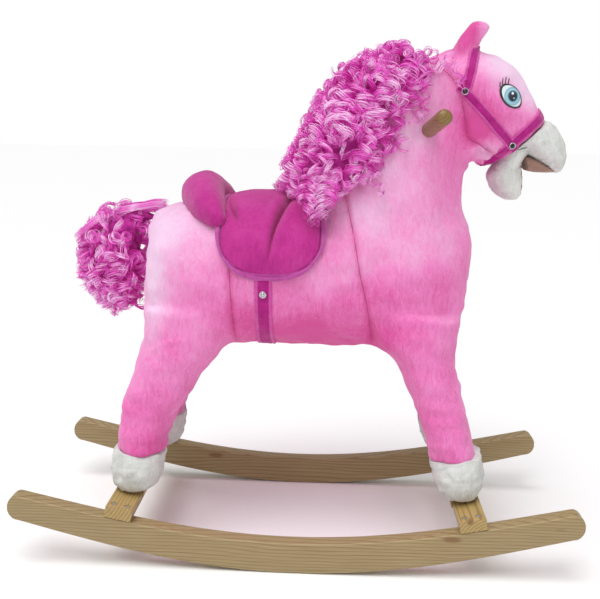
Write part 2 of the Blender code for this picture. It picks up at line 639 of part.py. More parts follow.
def tail(hair, plastic):
    """The tail wags about an upright shaft at the dock; its gearbox hides in the rump.
    Returns the cutters for the room that it all needs in the rump."""
    add_object("tail_gearbox", tail_gearbox_mesh(), plastic)
    rod = add_object("tail_rod", tail_rod_mesh(), plastic)
    combine(rod, add_object("tail_hub", tail_hub_mesh()), "UNION")
    tuft = add_object("tail_hair", loft_mesh(TAIL_HAIR, LIMB_SIDES), hair)
    cut(tuft, add_object("tail_rod_slot", tail_rod_mesh(GAP)))
    wags = (-TAIL_TRAVEL, -TAIL_TRAVEL / 2, 0, TAIL_TRAVEL / 2, TAIL_TRAVEL)
    room = [add_object(f"tail_room_{i}", tail_rod_mesh(TAIL_PLAY, wag)) for i, wag in enumerate(wags)]
    room.append(add_object("hub_room", tail_hub_mesh(TAIL_PLAY)))
    room.append(add_object("tail_gearbox_room", tail_gearbox_mesh(GAP)))
    return room


def battery_box_mesh(grow=0.0):
    length, width, height = BATTERY_BOX
    low = (BATTERY_BOX_X - length / 2 - grow, -width / 2 - grow, BATTERY_BOX_FLOOR - 4 * grow)
    high = (BATTERY_BOX_X + length / 2 + grow, width / 2 + grow, BATTERY_BOX_FLOOR + height + grow)
    return box_mesh(low, high)


def battery_unit(plastic, dark):
    """The battery and sound box in the belly, with its door and its on/off switch.
    Returns the cutter for its pocket."""
    length, width, _ = BATTERY_BOX
    box = add_object("battery_sound_box", battery_box_mesh(), plastic)
    rear = BATTERY_BOX_X - length / 2
    under = BATTERY_BOX_FLOOR - GAP
    door = box_mesh((rear, -width / 2, under - DOOR_THICK), (rear + DOOR_LENGTH, width / 2, under))
    add_object("battery_door", door, plastic)
    long, wide, tall = SWITCH
    middle = (rear + DOOR_LENGTH + BATTERY_BOX_X + length / 2) / 2
    roof = BATTERY_BOX_FLOOR + SWITCH_DEPTH - GAP
    low = (middle - long / 2, -wide / 2 - SWITCH_TRAVEL / 2, roof - tall)
    switch = box_mesh(low, (middle + long / 2, wide / 2 - SWITCH_TRAVEL / 2, roof))
    add_object("power_switch", switch, dark)
    reach = wide / 2 + SWITCH_TRAVEL / 2 + GAP
    slot = box_mesh((low[0] - GAP, -reach, BATTERY_BOX_FLOOR - 0.01),
                    (middle + long / 2 + GAP, reach, BATTERY_BOX_FLOOR + SWITCH_DEPTH))
    cut(box, add_object("switch_slot", slot))
    return add_object("battery_pocket", battery_box_mesh(GAP * 2))


# ---------------------------------------------------------------- surfaces of the soft shapes
def half_width_at(stations, x, z):
    """How far a loft's surface lies from the middle plane, at a point (x, z) inside its outline."""
    rings = blend_stations(stations, 4)
    for ring, following in zip(rings, rings[1:]):
        share = []
        for station in (ring, following):
            first, second = Vector(station[0:2]), Vector(station[2:4])
            middle, along = (first + second) / 2, (first - second).normalized()
            offset = Vector((x, z)) - middle
            beside = offset.x * along.y - offset.y * along.x
            share.append((beside, offset.dot(along) / ((first - second).length / 2), station[4]))
        (beside_0, reach_0, half_0), (beside_1, reach_1, half_1) = share
        if beside_0 * beside_1 <= 0:
            t = beside_0 / (beside_0 - beside_1)
            reach = min(abs(reach_0 + (reach_1 - reach_0) * t), 1)
            return (half_0 + (half_1 - half_0) * t) * (1 - reach ** SQUARENESS) ** (1 / SQUARENESS)
    raise ValueError(f"({x}, {z}) is outside the loft")


def torso_section(x):
    """Top, bottom and half width of the torso at x."""
    rings = blend_stations(TORSO, 4)
    for ring, following in zip(rings, rings[1:]):
        if ring[0] <= x <= following[0]:
            t = (x - ring[0]) / (following[0] - ring[0])
            mixed = ring.lerp(following, t)
            return mixed[1], mixed[3], mixed[4]
    raise ValueError(f"{x} is off the torso")


def draped_mesh(stations_x, limit, lower_z, inner, outer):
    """A sheet wrapped over the torso ("over") or round under it ("under"), between two offsets.
    lower_z gives the height at which it ends on each side."""
    made = bmesh.new()
    loops = []
    for x in stations_x:
        top, bottom, half = torso_section(x)
        middle, reach = (top + bottom) / 2, (top - bottom) / 2
        ring = []
        for grow in (outer, inner):
            share = (lower_z(x) - middle) / (reach + grow)
            last = math.acos(math.copysign(abs(share) ** (SQUARENESS / 2), share))
            first, run = (-last, 2 * last) if limit == "over" else (last, 2 * (math.pi - last))
            angles = [first + run * i / DRAPE_STEPS for i in range(DRAPE_STEPS + 1)]
            curve = []
            for angle in angles:
                up, side = squared(angle)
                curve.append((x, side * (half + grow), middle + up * (reach + grow)))
            ring += curve if grow == outer else curve[::-1]
        loops.append([made.verts.new(point) for point in ring])
    count = len(loops[0])
    for lower, upper in zip(loops, loops[1:]):
        for index in range(count):
            after = (index + 1) % count
            made.faces.new((lower[index], lower[after], upper[after], upper[index]))
    made.faces.new(loops[0])
    made.faces.new(loops[-1])
    return made


def slab_mesh(line, width, low_y=-BEYOND, high_y=BEYOND, beyond=0.05):
    """A flat slab along a line in the XZ plane, used to slice a strap out of a skin."""
    first, second = Vector(line[0]), Vector(line[1])
    along = (second - first).normalized()
    across = Vector((-along.y, along.x))
    first, second = first - along * beyond, second + along * beyond
    corners = [first + across * width / 2, second + across * width / 2,
               second - across * width / 2, first - across * width / 2]
    return board_mesh([tuple(corner) for corner in corners], low_y, high_y)


# ---------------------------------------------------------------- saddle
def flap_edge(x):
    """Height of the saddle flap's lower edge at x: lowest in the middle, rounded up to both ends."""
    middle = (SADDLE_X[0] + SADDLE_X[1]) / 2
    half = (SADDLE_X[1] - SADDLE_X[0]) / 2
    return SADDLE_DROP + SADDLE_RISE * (1 - math.sqrt(max(0.0, 1 - abs((x - middle) / half) ** 2.6)))


def saddle(velour, webbing, steel):
    start, end = SADDLE_X
    ends = [math.pi * i / 10 for i in range(11)]
    across = [(start + end) / 2 - (end - start) / 2 * math.cos(a) for a in ends]
    cover = draped_mesh(across, "over", flap_edge, DRAPE_LIFT, SADDLE_THICK)
    add_object("saddle_cover", cover, velour)
    span = (GIRTH_X - GIRTH_WIDTH / 2, GIRTH_X, GIRTH_X + GIRTH_WIDTH / 2)
    girth = draped_mesh(span, "under", lambda x: GIRTH_TOP, DRAPE_LIFT, DRAPE_LIFT + STRAP_THICK)
    add_object("girth_strap", girth, webbing)
    seat = torso_section(GIRTH_X)[2] + DRAPE_LIFT + GAP + STRAP_THICK
    stud = rod_mesh((GIRTH_X, -seat, STUD_HEIGHT), (GIRTH_X, -seat - RIVET_RISE, STUD_HEIGHT),
                    STUD_RADIUS, 16, STUD_RADIUS * 0.6)
    add_object("girth_stud", stud, steel)


# ---------------------------------------------------------------- bridle
def band(name, slab, looks=None, slack=0.0):
    """A strap sliced by a slab out of a skin round the head. slack swells it into a cutter."""
    made = add_object(name, slab, looks)
    outer = loft_mesh(HEAD, SKIN_SIDES, grow=GAP + STRAP_THICK + slack, ends=BAND_ENDS)
    combine(made, add_object(name + "_outer", outer), "INTERSECT")
    if looks is not None:
        cut(made, add_object(name + "_inner", loft_mesh(HEAD, SKIN_SIDES, grow=GAP, ends=2.5 * BAND_ENDS)))
    return made


def bridle(webbing, dark):
    """Noseband, crown strap and cheek straps, with a rivet where each two meet.
    Returns the crown strap's cutter, for the ears."""
    band("noseband", slab_mesh(NOSEBAND_LINE, BAND_WIDTH), webbing)
    crown = band("crown_strap", slab_mesh(CROWN_LINE, BAND_WIDTH), webbing)
    end = RIVET_HIGH[1] - BAND_OVERLAP
    cut(crown, add_object("below_crown", box_mesh((-BEYOND, -BEYOND, -BEYOND), (BEYOND, BEYOND, end))))
    wide = BAND_WIDTH + 2 * GAP
    clear = [band("noseband_room", slab_mesh(NOSEBAND_LINE, wide), slack=GAP),
             band("crown_room", slab_mesh(CROWN_LINE, wide), slack=GAP)]
    for side in (1, -1):
        name = side_name(side)
        slab = mirrored(slab_mesh((RIVET_HIGH, RIVET_LOW), BAND_WIDTH, 0.01, BEYOND, 0), side)
        cut(band("cheek_strap_" + name, slab, webbing), *clear)
        for label, (x, z) in (("high", RIVET_HIGH), ("low", RIVET_LOW)):
            seat = half_width_at(HEAD, x, z) + RIVET_LIFT + STRAP_THICK
            rivet = rod_mesh((x, side * seat, z), (x, side * (seat + RIVET_RISE), z),
                             RIVET_RADIUS, 14, RIVET_RADIUS * 0.6)
            add_object(f"bridle_rivet_{label}_{name}", rivet, dark)
    return clear[1]


# ---------------------------------------------------------------- plush
def soft(name, stations, looks, cutters, count):
    made = add_object(name, loft_mesh(stations, count), looks)
    cut(made, *cutters)
    return made


def legs_plush(pink, white, torso_room, post_room):
    """Sleeves over the posts, closed by white cuffs at the hooves."""
    for front in (True, False):
        for side in (1, -1):
            name = ("front_" if front else "rear_") + side_name(side)
            posts = [room for room in post_room if room.name.endswith(name)]
            sleeve = mirrored(loft_mesh(FRONT_SLEEVE if front else REAR_SLEEVE, LIMB_SIDES), side)
            cuff_stations = FRONT_CUFF if front else REAR_CUFF
            sleeve = add_object("leg_sleeve_" + name, sleeve, pink)
            cuff = add_object("hoof_cuff_" + name, mirrored(loft_mesh(cuff_stations, LIMB_SIDES), side), white)
            cuff_room = mirrored(loft_mesh(cuff_stations, LIMB_SIDES, grow=GAP, ends=2 * GAP), side)
            cuff_room = add_object("hoof_cuff_room_" + name, cuff_room)
            cut(sleeve, torso_room, cuff_room, *posts)
            cut(cuff, add_object("crossbar_room_" + name, crossbar_mesh(front, GAP)), *posts)


def face(pink, eye_print, crown_room, head_room, neck_room):
    for side in (1, -1):
        name = side_name(side)
        shape = mirrored(loft_mesh(EAR, LIMB_SIDES), side)
        if side > 0:
            bmesh.ops.translate(shape, vec=(0, 0, -LEFT_EAR_DROP), verts=shape.verts)
        ear = add_object("ear_" + name, shape, pink)
        cut(ear, head_room, neck_room, crown_room)
        x, z = EYE_AT
        seat = half_width_at(HEAD, x, z)
        made = bmesh.new()
        bmesh.ops.create_uvsphere(made, u_segments=LIMB_SIDES, v_segments=LIMB_SIDES // 2, radius=1)
        bmesh.ops.scale(made, vec=(EYE_HALF[0], EYE_SWELL * 2, EYE_HALF[1]), verts=made.verts)
        bmesh.ops.translate(made, vec=(x, side * (seat - EYE_SWELL), z), verts=made.verts)
        cut(add_object("eye_" + name, made, eye_print), head_room)


def main():
    clear_scene()
    pink = material("pink_plush", (0.83, 0.18, 0.47), 0.85)
    white = material("white_plush", (0.75, 0.78, 0.75), 0.9)
    velour = material("magenta_velour", (0.55, 0.02, 0.26), 0.8)
    webbing = material("pink_webbing", (0.68, 0.04, 0.35), 0.6)
    hair = material("magenta_hair", (0.76, 0.03, 0.40), 0.5)
    lining = material("mouth_lining", (0.38, 0.20, 0.16), 0.9)
    pine = material("pine", (0.52, 0.37, 0.19), 0.55)
    hidden_pine = material("frame_pine", (0.50, 0.36, 0.20), 0.7)
    steel = material("zinc_steel", (0.45, 0.44, 0.42), 0.35, 1.0)
    plastic = material("white_plastic", (0.75, 0.75, 0.73), 0.4)
    dark = material("black_enamel", (0.02, 0.02, 0.025), 0.25)
    eye_print = material("eye_print", (0.30, 0.62, 0.75), 0.3)

    lower_frame(pine, steel)
    above_posts = add_object("above_post_room", above_mesh(POST_TOP + GAP))
    post_room = []
    for front in (True, False):
        for side in (1, -1):
            name = "post_room_" + ("front_" if front else "rear_") + side_name(side)
            post_room.append(add_object(name, mirrored(post_mesh(front, GAP), side)))
            cut(post_room[-1], above_posts)
    add_object("seat_board", box_mesh(*seat_board_span()), hidden_pine)
    add_object("neck_board", neck_board_mesh(), hidden_pine)
    neck_slot = add_object("neck_slot", neck_board_mesh(GAP))
    frame_room = [add_object("seat_board_room", box_mesh(*seat_board_span(GAP))), neck_slot]
    handle_room = []
    for side in (1, -1):
        grip = add_object("handle_" + side_name(side), mirrored(handle_mesh(), side), pine)
        cut(grip, neck_slot)
        handle_room.append(add_object("handle_room_" + side_name(side), mirrored(handle_mesh(GAP), side)))

    hinge_room = jaw_and_gearbox(white, plastic, steel)
    gearbox_room = add_object("gearbox_room", gearbox_mesh(GAP))
    sweep = jaw_sweep()
    tail_room = tail(hair, plastic)
    battery_pocket = battery_unit(plastic, dark)

    torso_room = add_object("torso_room", loft_mesh(TORSO, SKIN_SIDES, grow=GAP))
    neck_room = add_object("neck_room", loft_mesh(NECK, SKIN_SIDES, grow=GAP))
    head_room = add_object("head_room", loft_mesh(HEAD, SKIN_SIDES, grow=GAP))
    muzzle_room = add_object("muzzle_room", loft_mesh(MUZZLE, MUZZLE_SIDES, grow=GAP))

    saddle_end, saddle_steps = SADDLE_X[1] + GAP, 8
    saddle_span = [SADDLE_X[0] - GAP + (saddle_end - SADDLE_X[0] + GAP) * i / saddle_steps
                   for i in range(saddle_steps + 1)]
    saddle_room = draped_mesh(saddle_span, "over", lambda x: SADDLE_DROP, -0.01, SADDLE_THICK + GAP)
    saddle_room = add_object("saddle_room", saddle_room)
    soft("torso_plush", TORSO, pink, [*frame_room, *post_room, *tail_room, battery_pocket], SKIN_SIDES)
    soft("neck_plush", NECK, pink, [torso_room, saddle_room, neck_slot, *handle_room], SKIN_SIDES)
    head_cutters = [neck_room, neck_slot, gearbox_room, hinge_room, *sweep]
    soft("head_plush", HEAD, pink, head_cutters, SKIN_SIDES)
    soft("muzzle_plush", MUZZLE, white, [head_room, hinge_room, *sweep], MUZZLE_SIDES)
    soft("palate_lining", PALATE, lining, [muzzle_room, head_room, *sweep], LIMB_SIDES)
    legs_plush(pink, white, torso_room, post_room)
    saddle(velour, webbing, steel)
    soft("cantle_roll", CANTLE, velour, [torso_room, saddle_room], CANTLE_SIDES)
    crown_room = bridle(webbing, dark)
    face(pink, eye_print, crown_room, head_room, neck_room)
    soft("mane", MANE, hair, [neck_room, head_room], HAIR_SIDES)


main()
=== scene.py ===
# %% [markdown]
# # A plush rocking horse
# A child's rocking horse is a small timber frame with a stuffed toy pulled over it. This lesson builds
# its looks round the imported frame: plush skin, saddle, bridle, curled hair, pine and small metal parts.
# The frame is loaded first, because every piece takes its place from it and never moves it.

import math

import bpy
import numpy as np
from mathutils import Matrix, Vector
from mathutils.bvhtree import BVHTree


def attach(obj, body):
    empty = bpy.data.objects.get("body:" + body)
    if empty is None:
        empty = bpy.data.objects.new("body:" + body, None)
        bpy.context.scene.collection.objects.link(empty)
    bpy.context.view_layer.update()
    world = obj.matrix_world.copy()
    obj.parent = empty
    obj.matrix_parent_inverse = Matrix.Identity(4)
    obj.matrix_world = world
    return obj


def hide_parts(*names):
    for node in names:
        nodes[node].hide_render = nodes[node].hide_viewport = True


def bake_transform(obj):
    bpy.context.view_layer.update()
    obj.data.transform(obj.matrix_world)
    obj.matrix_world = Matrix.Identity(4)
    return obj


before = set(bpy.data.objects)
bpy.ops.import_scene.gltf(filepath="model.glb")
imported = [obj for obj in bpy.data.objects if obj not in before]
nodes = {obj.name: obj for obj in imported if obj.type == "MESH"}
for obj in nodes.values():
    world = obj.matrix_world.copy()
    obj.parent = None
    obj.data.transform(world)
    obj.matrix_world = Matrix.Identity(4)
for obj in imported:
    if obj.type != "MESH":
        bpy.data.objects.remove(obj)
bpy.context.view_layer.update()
SIDES = {"left": 1, "right": -1}

# %% [markdown]
# ## Colours and nodes
# Dye colours are easiest to write as sRGB hex, but shaders work in linear light, so one function turns
# them. A second function adds any shader node with its settings and links, which keeps every material
# below readable as a short recipe.

# %% Colour and node helpers
def dye(code):
    """sRGB hex to linear RGBA: each channel c becomes ((c + 0.055) / 1.055) ^ 2.4, or c / 12.92 when dark."""
    parts = np.array([int(code[i:i + 2], 16) for i in (1, 3, 5)]) / 255
    return (*np.where(parts > 0.04045, ((parts + 0.055) / 1.055) ** 2.4, parts / 12.92).tolist(), 1.0)


def add_node(tree, kind, inputs=None, stops=None, **settings):
    """Adds one node. inputs gives sockets a value or a link, stops fills a colour ramp."""
    made = tree.nodes.new(kind)
    for key, value in settings.items():
        setattr(made, key, value)
    for key, value in (inputs or {}).items():
        if isinstance(value, bpy.types.NodeSocket):
            tree.links.new(value, made.inputs[key])
        else:
            made.inputs[key].default_value = value
    for index, (place, colour) in enumerate(stops or ()):
        element = made.color_ramp.elements[index] if index < 2 else made.color_ramp.elements.new(place)
        element.position, element.color = place, colour
    return made


def new_material(name, **sockets):
    """A Principled material, its tree and its shader, with constant sockets set on the shader itself."""
    made = bpy.data.materials.new(name)
    made.use_nodes = True
    shader = made.node_tree.nodes["Principled BSDF"]
    for key, value in sockets.items():
        shader.inputs[key.replace("_", " ")].default_value = value
    return made, made.node_tree, shader


def stretched(tree, place, scale, turn=(0, 0, 0)):
    """Object coordinates moved, turned and scaled, so that a noise of scale 1 follows real lengths."""
    coords = add_node(tree, "ShaderNodeTexCoord").outputs["Object"]
    return add_node(tree, "ShaderNodeMapping", {"Vector": coords, "Location": place, "Scale": scale,
                                                "Rotation": turn}).outputs["Vector"]


def per_mm(millimetres):
    """Noise scale for features of that size: 1000 / millimetres, because the scene is in metres."""
    return 1000 / millimetres


print("pink dye in linear light", np.round(dye("#EC7ABF"), 3))

# %% [markdown]
# ## Plush
# Short-pile plush is knitted polyester whose pile is sheared to about 2 mm and brushed. Two things make
# it look soft: each patch of pile leans its own way, so the colour drifts between deep and nearly white
# in hand-sized patches and short strokes, and the fibre tips catch light at the rim, which is what the
# sheen lobe does. The pile itself is finer than the view can show, so its bump is drawn at about 1 mm.
# The white parts have longer pile, velour is sheared short and even, and the lining is flat flannel.

# %% Plush materials
def plush(name, deep, middle, pale, drift_mm, pile_mm, pale_share, sheen):
    """Brushed plush: colour runs deep, middle, pale with the lean of the pile and with the painted sheen and shade
    of an attribute; bump is the pile.
    """
    made, tree, shader = new_material(name, Roughness=0.85, Sheen_Weight=sheen, Sheen_Roughness=0.5,
                                      Specular_IOR_Level=0.12, IOR=1.5)
    shader.inputs["Sheen Tint"].default_value = dye("#FFE9F6")
    patch = add_node(tree, "ShaderNodeTexNoise", {
        "Vector": stretched(tree, (0.3, 0.1, 0.2), [per_mm(drift_mm)] * 3), "Scale": 1.0, "Detail": 2.0,
        "Roughness": 0.45, "Distortion": 0.3}).outputs["Fac"]
    stroke = add_node(tree, "ShaderNodeTexNoise", {
        "Vector": stretched(tree, (0, 0, 0), (per_mm(5), per_mm(5), per_mm(17)), (0.2, 0.35, 0)),
        "Scale": 1.0, "Detail": 4.0, "Roughness": 0.65, "Distortion": 0.9}).outputs["Fac"]
    pile = add_node(tree, "ShaderNodeTexNoise", {
        "Vector": stretched(tree, (0, 0, 0), (per_mm(pile_mm), per_mm(pile_mm), per_mm(pile_mm * 2.6))),
        "Scale": 1.0, "Detail": 3.0, "Roughness": 0.7}).outputs["Fac"]
    # The attribute adds painted sheen and painted shade, set region by region on the skin, to the pile's random
    # lean.
    lean = add_node(tree, "ShaderNodeAttribute", attribute_name="brushed_with_painted_sheen_and_shade").outputs["Fac"]
    for part, weight in ((patch, 0.26), (stroke, 0.22), (pile, 0.16)):
        lean = add_node(tree, "ShaderNodeMath", {0: part, 1: weight, 2: lean},
                        operation="MULTIPLY_ADD").outputs[0]
    colour = add_node(tree, "ShaderNodeValToRGB", {"Fac": lean}, stops=[
        (0.20, dye(deep)), (0.24 + 0.20 * (1 - pale_share), dye(middle)), (0.58, dye(pale))]).outputs["Color"]
    # The seam attribute multiplies in the deep colour: painted shade in seam grooves and saddle pleats, and on the
    # skin partly also the parted pile.
    seam = add_node(tree, "ShaderNodeAttribute", attribute_name="seam").outputs["Fac"]
    colour = add_node(tree, "ShaderNodeMix", {"Factor": seam, 6: colour, 7: dye(deep)}, data_type="RGBA",
                      blend_type="MULTIPLY").outputs[2]
    tree.links.new(colour, shader.inputs["Base Color"])
    lay = add_node(tree, "ShaderNodeBump", {"Height": stroke, "Strength": 0.4, "Distance": 0.0016}).outputs[0]
    fuzz = add_node(tree, "ShaderNodeBump", {"Height": pile, "Strength": 0.5, "Distance": 0.0009,
                                             "Normal": lay}).outputs[0]
    tree.links.new(fuzz, shader.inputs["Normal"])
    return made


pink_plush = plush("pink_plush_brushed", "#DC559F", "#EE86C4", "#EFCBE8", 95, 1.3, 0.5, 0.3)
white_plush = plush("white_plush_long_pile", "#BDBFBA", "#DADCD8", "#EEEFEE", 22, 1.6, 0.5, 0.15)
velour = plush("magenta_velour_sheared", "#A51878", "#C23490", "#CC58A5", 40, 0.9, 0.45, 0.35)
hem_velour = plush("magenta_velour_hem", "#AE3A90", "#C254A4", "#D482BC", 14, 0.8, 0.45, 0.45)
lining = plush("mouth_lining_flannel", "#8E6E62", "#A88577", "#C2A294", 18, 0.9, 0.4, 0.15)
print("plush", [m.name for m in (pink_plush, white_plush, velour, hem_velour, lining)])

# %% [markdown]
# ## Shapes from arrays
# A stuffed limb is a stack of soft-cornered rings. Each ring is given by a station: where its two ends
# lie in the XZ plane, how wide it is to the side, and where its middle is. A Catmull-Rom curve through
# the stations gives as many rings as wanted, and each ring is a superellipse. Working on whole arrays
# keeps that fast, and one function turns any arrays into a mesh with its faces outward.

# %% Rings, grids and pieces
SQUARENESS = 2.3


def smooth_rows(rows, steps):
    """Rows on the Catmull-Rom curve through the given ones, steps to each gap."""
    rows = np.asarray(rows, float)
    held = np.vstack([rows[:1], rows, rows[-1:]])
    before, start, end, after = (held[i:len(rows) - 1 + i, None] for i in range(4))
    t = (np.arange(steps) / steps)[None, :, None]
    curve = 0.5 * (2 * start + (end - before) * t + (2 * before - 5 * start + 4 * end - after) * t ** 2
                   + (3 * start - before - 3 * end + after) * t ** 3)
    return np.vstack([curve.reshape(-1, rows.shape[1]), rows[-1:]])


def soft_corner(angle):
    """Cosine and sine pushed out to the superellipse |x|^p + |y|^p = 1."""
    c, s = np.cos(angle), np.sin(angle)
    return np.sign(c) * np.abs(c) ** (2 / SQUARENESS), np.sign(s) * np.abs(s) ** (2 / SQUARENESS)


def rings(stations, steps=8, sides=48, side=1, grow=0.0):
    """(ring, angle, xyz): middle + long axis * cos + Y * half width * sin, for every smoothed station."""
    flat = smooth_rows([[*a, *b, half, middle] for a, b, half, middle in stations], steps)
    first, second, half, middle = flat[:, 0:2], flat[:, 2:4], flat[:, 4], flat[:, 5]
    up, across = soft_corner(np.linspace(0, 2 * np.pi, sides, endpoint=False))
    long_half = np.linalg.norm(first - second, axis=1) / 2
    along = (first - second) / (2 * long_half[:, None])
    place = ((first + second) / 2)[:, None] + (along * (long_half + grow)[:, None])[:, None] * up[:, None]
    y = side * (middle[:, None] + (half + grow)[:, None] * across)
    return np.stack([place[..., 0], y, place[..., 1]], axis=-1)


def domed(points, depth):
    """Adds three shrinking rings at each end: radius falls as a cosine while the end moves out by depth."""
    def cap(end, inner):
        """Three rings beyond the end ring, at 35, 62 and 82 degrees of the dome."""
        middle, run = end.mean(0), end.mean(0) - inner.mean(0)
        run = run / np.linalg.norm(run)
        angle = np.radians([35, 62, 82])[:, None, None]
        return middle + (end - middle) * np.cos(angle) + run * depth * np.sin(angle)
    return np.concatenate([cap(points[0], points[1])[::-1], points, cap(points[-1], points[-2])])


def grid_faces(rows, columns, wrap_rows=False, wrap_columns=True, base=0):
    """Quads between neighbouring rows and columns of a grid of points, joined round where it wraps."""
    r = np.arange(rows if wrap_rows else rows - 1)[:, None]
    c = np.arange(columns if wrap_columns else columns - 1)[None, :]
    r1, c1 = (r + 1) % rows, (c + 1) % columns
    return base + np.stack([r * columns + c, r * columns + c1, r1 * columns + c1, r1 * columns + c],
                           axis=-1).reshape(-1, 4)


def closed_rings(points):
    """Points and faces of a stack of rings, closed at both ends by a fan to a pole."""
    count, sides = points.shape[:2]
    flat = np.vstack([points.reshape(-1, 3), points[0].mean(0), points[-1].mean(0)])
    c = np.arange(sides)
    after, last = (c + 1) % sides, (count - 1) * sides
    fans = np.vstack([np.stack([after, c, np.full(sides, count * sides)], 1),
                      np.stack([last + c, last + after, np.full(sides, count * sides + 1)], 1)])
    return flat, [grid_faces(count, sides), fans]


def joined(parts):
    """Several (points, faces) as one, with the faces renumbered."""
    counts = np.cumsum([0] + [len(points) for points, _ in parts])
    faces = [face + base for (_, group), base in zip(parts, counts) for face in group]
    return np.vstack([points for points, _ in parts]), faces


def volume(points, faces):
    """Signed volume: a sixth of the sum of a . (b x c) over fans of every face."""
    total = 0.0
    for group in faces:
        for i in range(1, group.shape[1] - 1):
            a, b, c = points[group[:, 0]], points[group[:, i]], points[group[:, i + 1]]
            total += np.einsum("ij,ij->", a, np.cross(b, c)) / 6
    return total


def piece(name, points, faces, materials=(), body=None, slot=None, replaced=(), picks=None, smooth=True):
    """A mesh object from arrays. Faces are turned outward if they enclose a negative volume."""
    faces = [np.asarray(group) for group in faces]
    if volume(points, faces) < 0:
        faces = [group[:, ::-1] for group in faces]
    sizes = np.concatenate([np.full(len(group), group.shape[1]) for group in faces])
    mesh = bpy.data.meshes.new(name)
    mesh.vertices.add(len(points))
    mesh.vertices.foreach_set("co", np.ascontiguousarray(points, np.float32).ravel())
    mesh.loops.add(int(sizes.sum()))
    mesh.loops.foreach_set("vertex_index", np.concatenate([group.ravel() for group in faces]).astype(np.int32))
    mesh.polygons.add(len(sizes))
    mesh.polygons.foreach_set("loop_start", np.concatenate([[0], np.cumsum(sizes)[:-1]]).astype(np.int32))
    for made in (materials if isinstance(materials, (list, tuple)) else [materials]):
        mesh.materials.append(made)
    mesh.update(calc_edges=True)
    mesh.validate()
    if picks is not None:
        mesh.polygons.foreach_set("material_index", np.asarray(picks, np.int32))
    mesh.polygons.foreach_set("use_smooth", np.full(len(mesh.polygons), smooth))
    made = bpy.data.objects.new(name, mesh)
    bpy.context.scene.collection.objects.link(made)
    if body:
        dress(made, body, replaced)
    return made


def dress(made, body, replaced=()):
    """The piece rides on its body and stands for its CAD nodes."""
    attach(made, body)
    if replaced:
        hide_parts(*replaced)
    return made


def ripple(points, wavelength, seed, waves=26):
    """A random rolling surface: the sum of sine waves of one length in seeded random directions."""
    draw = np.random.default_rng(seed)
    directions = draw.normal(size=(waves, 3))
    directions /= np.linalg.norm(directions, axis=1)[:, None]
    lengths = wavelength * draw.uniform(0.75, 1.4, waves)
    phases = draw.uniform(0, 2 * np.pi, waves)
    return np.sin(points @ (directions * (2 * np.pi / lengths)[:, None]).T + phases).sum(1) * (2 / waves) ** 0.5


def to_line(flat_points, line):
    """Distance from each (x, z) to a polyline, and how far along it (0 to 1) the nearest point lies."""
    line = np.asarray(line, float)
    start, run = line[:-1], np.diff(line, axis=0)
    share = np.clip(((flat_points[:, None] - start) * run).sum(-1) / (run ** 2).sum(-1), 0, 1)
    gaps = np.linalg.norm(flat_points[:, None] - (start + share[..., None] * run), axis=-1)
    best = gaps.argmin(1)
    index = np.arange(len(flat_points))
    return gaps[index, best], (best + share[index, best]) / len(run)


def bell(distance, width):
    """A smooth bump exp(-(d / w)^2)."""
    return np.exp(-(distance / width) ** 2)


def unit(vectors):
    """Each vector divided by its own length."""
    return vectors / np.maximum(np.linalg.norm(vectors, axis=-1, keepdims=True), 1e-9)


def mark(mesh, name, values):
    """Stores one number at every point of a mesh, for its material to read by name."""
    mesh.attributes.new(name, "FLOAT", "POINT").data.foreach_set("value", np.asarray(values, np.float32))


print("helpers ready")

# %% [markdown]
# ## The stuffed body
# On the real toy the torso, neck, head and legs are sewn from flat panels and stuffed hard, so they run
# into each other without a gap. Separate lofts would show a hard crossing line there. Here the lofts
# are laid over each other, a voxel remesh makes them one skin, and a filling pass raises only the
# creases, the way stuffing rounds out an inside corner. Seams and folds are pressed in last, because the
# remesh would erase them.

# %% Stations of the body
# A station is one end (x, z), the other end (x, z), half the width, and how far its middle lies to a side.
TORSO = (
    ((-0.2055, 0.415), (-0.2065, 0.375), 0.030, 0), ((-0.198, 0.448), (-0.205, 0.320), 0.066, 0),
    ((-0.180, 0.459), (-0.190, 0.290), 0.087, 0), ((-0.140, 0.464), (-0.145, 0.273), 0.100, 0),
    ((-0.080, 0.470), (-0.080, 0.274), 0.105, 0), ((0.000, 0.472), (0.000, 0.275), 0.105, 0),
    ((0.070, 0.478), (0.070, 0.275), 0.104, 0), ((0.130, 0.482), (0.130, 0.275), 0.100, 0),
    ((0.180, 0.482), (0.180, 0.281), 0.089, 0), ((0.212, 0.466), (0.210, 0.300), 0.068, 0),
    ((0.2265, 0.420), (0.2255, 0.350), 0.034, 0),
)
NECK = (
    ((0.020, 0.440), (0.215, 0.420), 0.086, 0), ((0.040, 0.502), (0.2155, 0.462), 0.078, 0),
    ((0.060, 0.552), (0.2145, 0.492), 0.068, 0), ((0.084, 0.600), (0.216, 0.525), 0.061, 0),
    ((0.110, 0.637), (0.222, 0.560), 0.057, 0), ((0.146, 0.656), (0.222, 0.600), 0.050, 0),
)
HEAD = (
    ((0.150, 0.640), (0.185, 0.575), 0.040, 0), ((0.166, 0.657), (0.195, 0.552), 0.052, 0),
    ((0.196, 0.666), (0.213, 0.533), 0.060, 0), ((0.230, 0.664), (0.232, 0.524), 0.060, 0),
    ((0.260, 0.652), (0.243, 0.524), 0.055, 0), ((0.285, 0.630), (0.249, 0.525), 0.049, 0),
    ((0.304, 0.598), (0.253, 0.5265), 0.043, 0), ((0.315, 0.5800), (0.260, 0.528), 0.040, 0),
)
MUZZLE = (
    ((0.3156, 0.5795), (0.2618, 0.5290), 0.0395, 0), ((0.3235, 0.5765), (0.2800, 0.5395), 0.0410, 0),
    ((0.3345, 0.5640), (0.2950, 0.5330), 0.0420, 0), ((0.3418, 0.5480), (0.3100, 0.5240), 0.0400, 0),
    ((0.3440, 0.5310), (0.3240, 0.5160), 0.0340, 0), ((0.3415, 0.5180), (0.3330, 0.5130), 0.0180, 0),
)
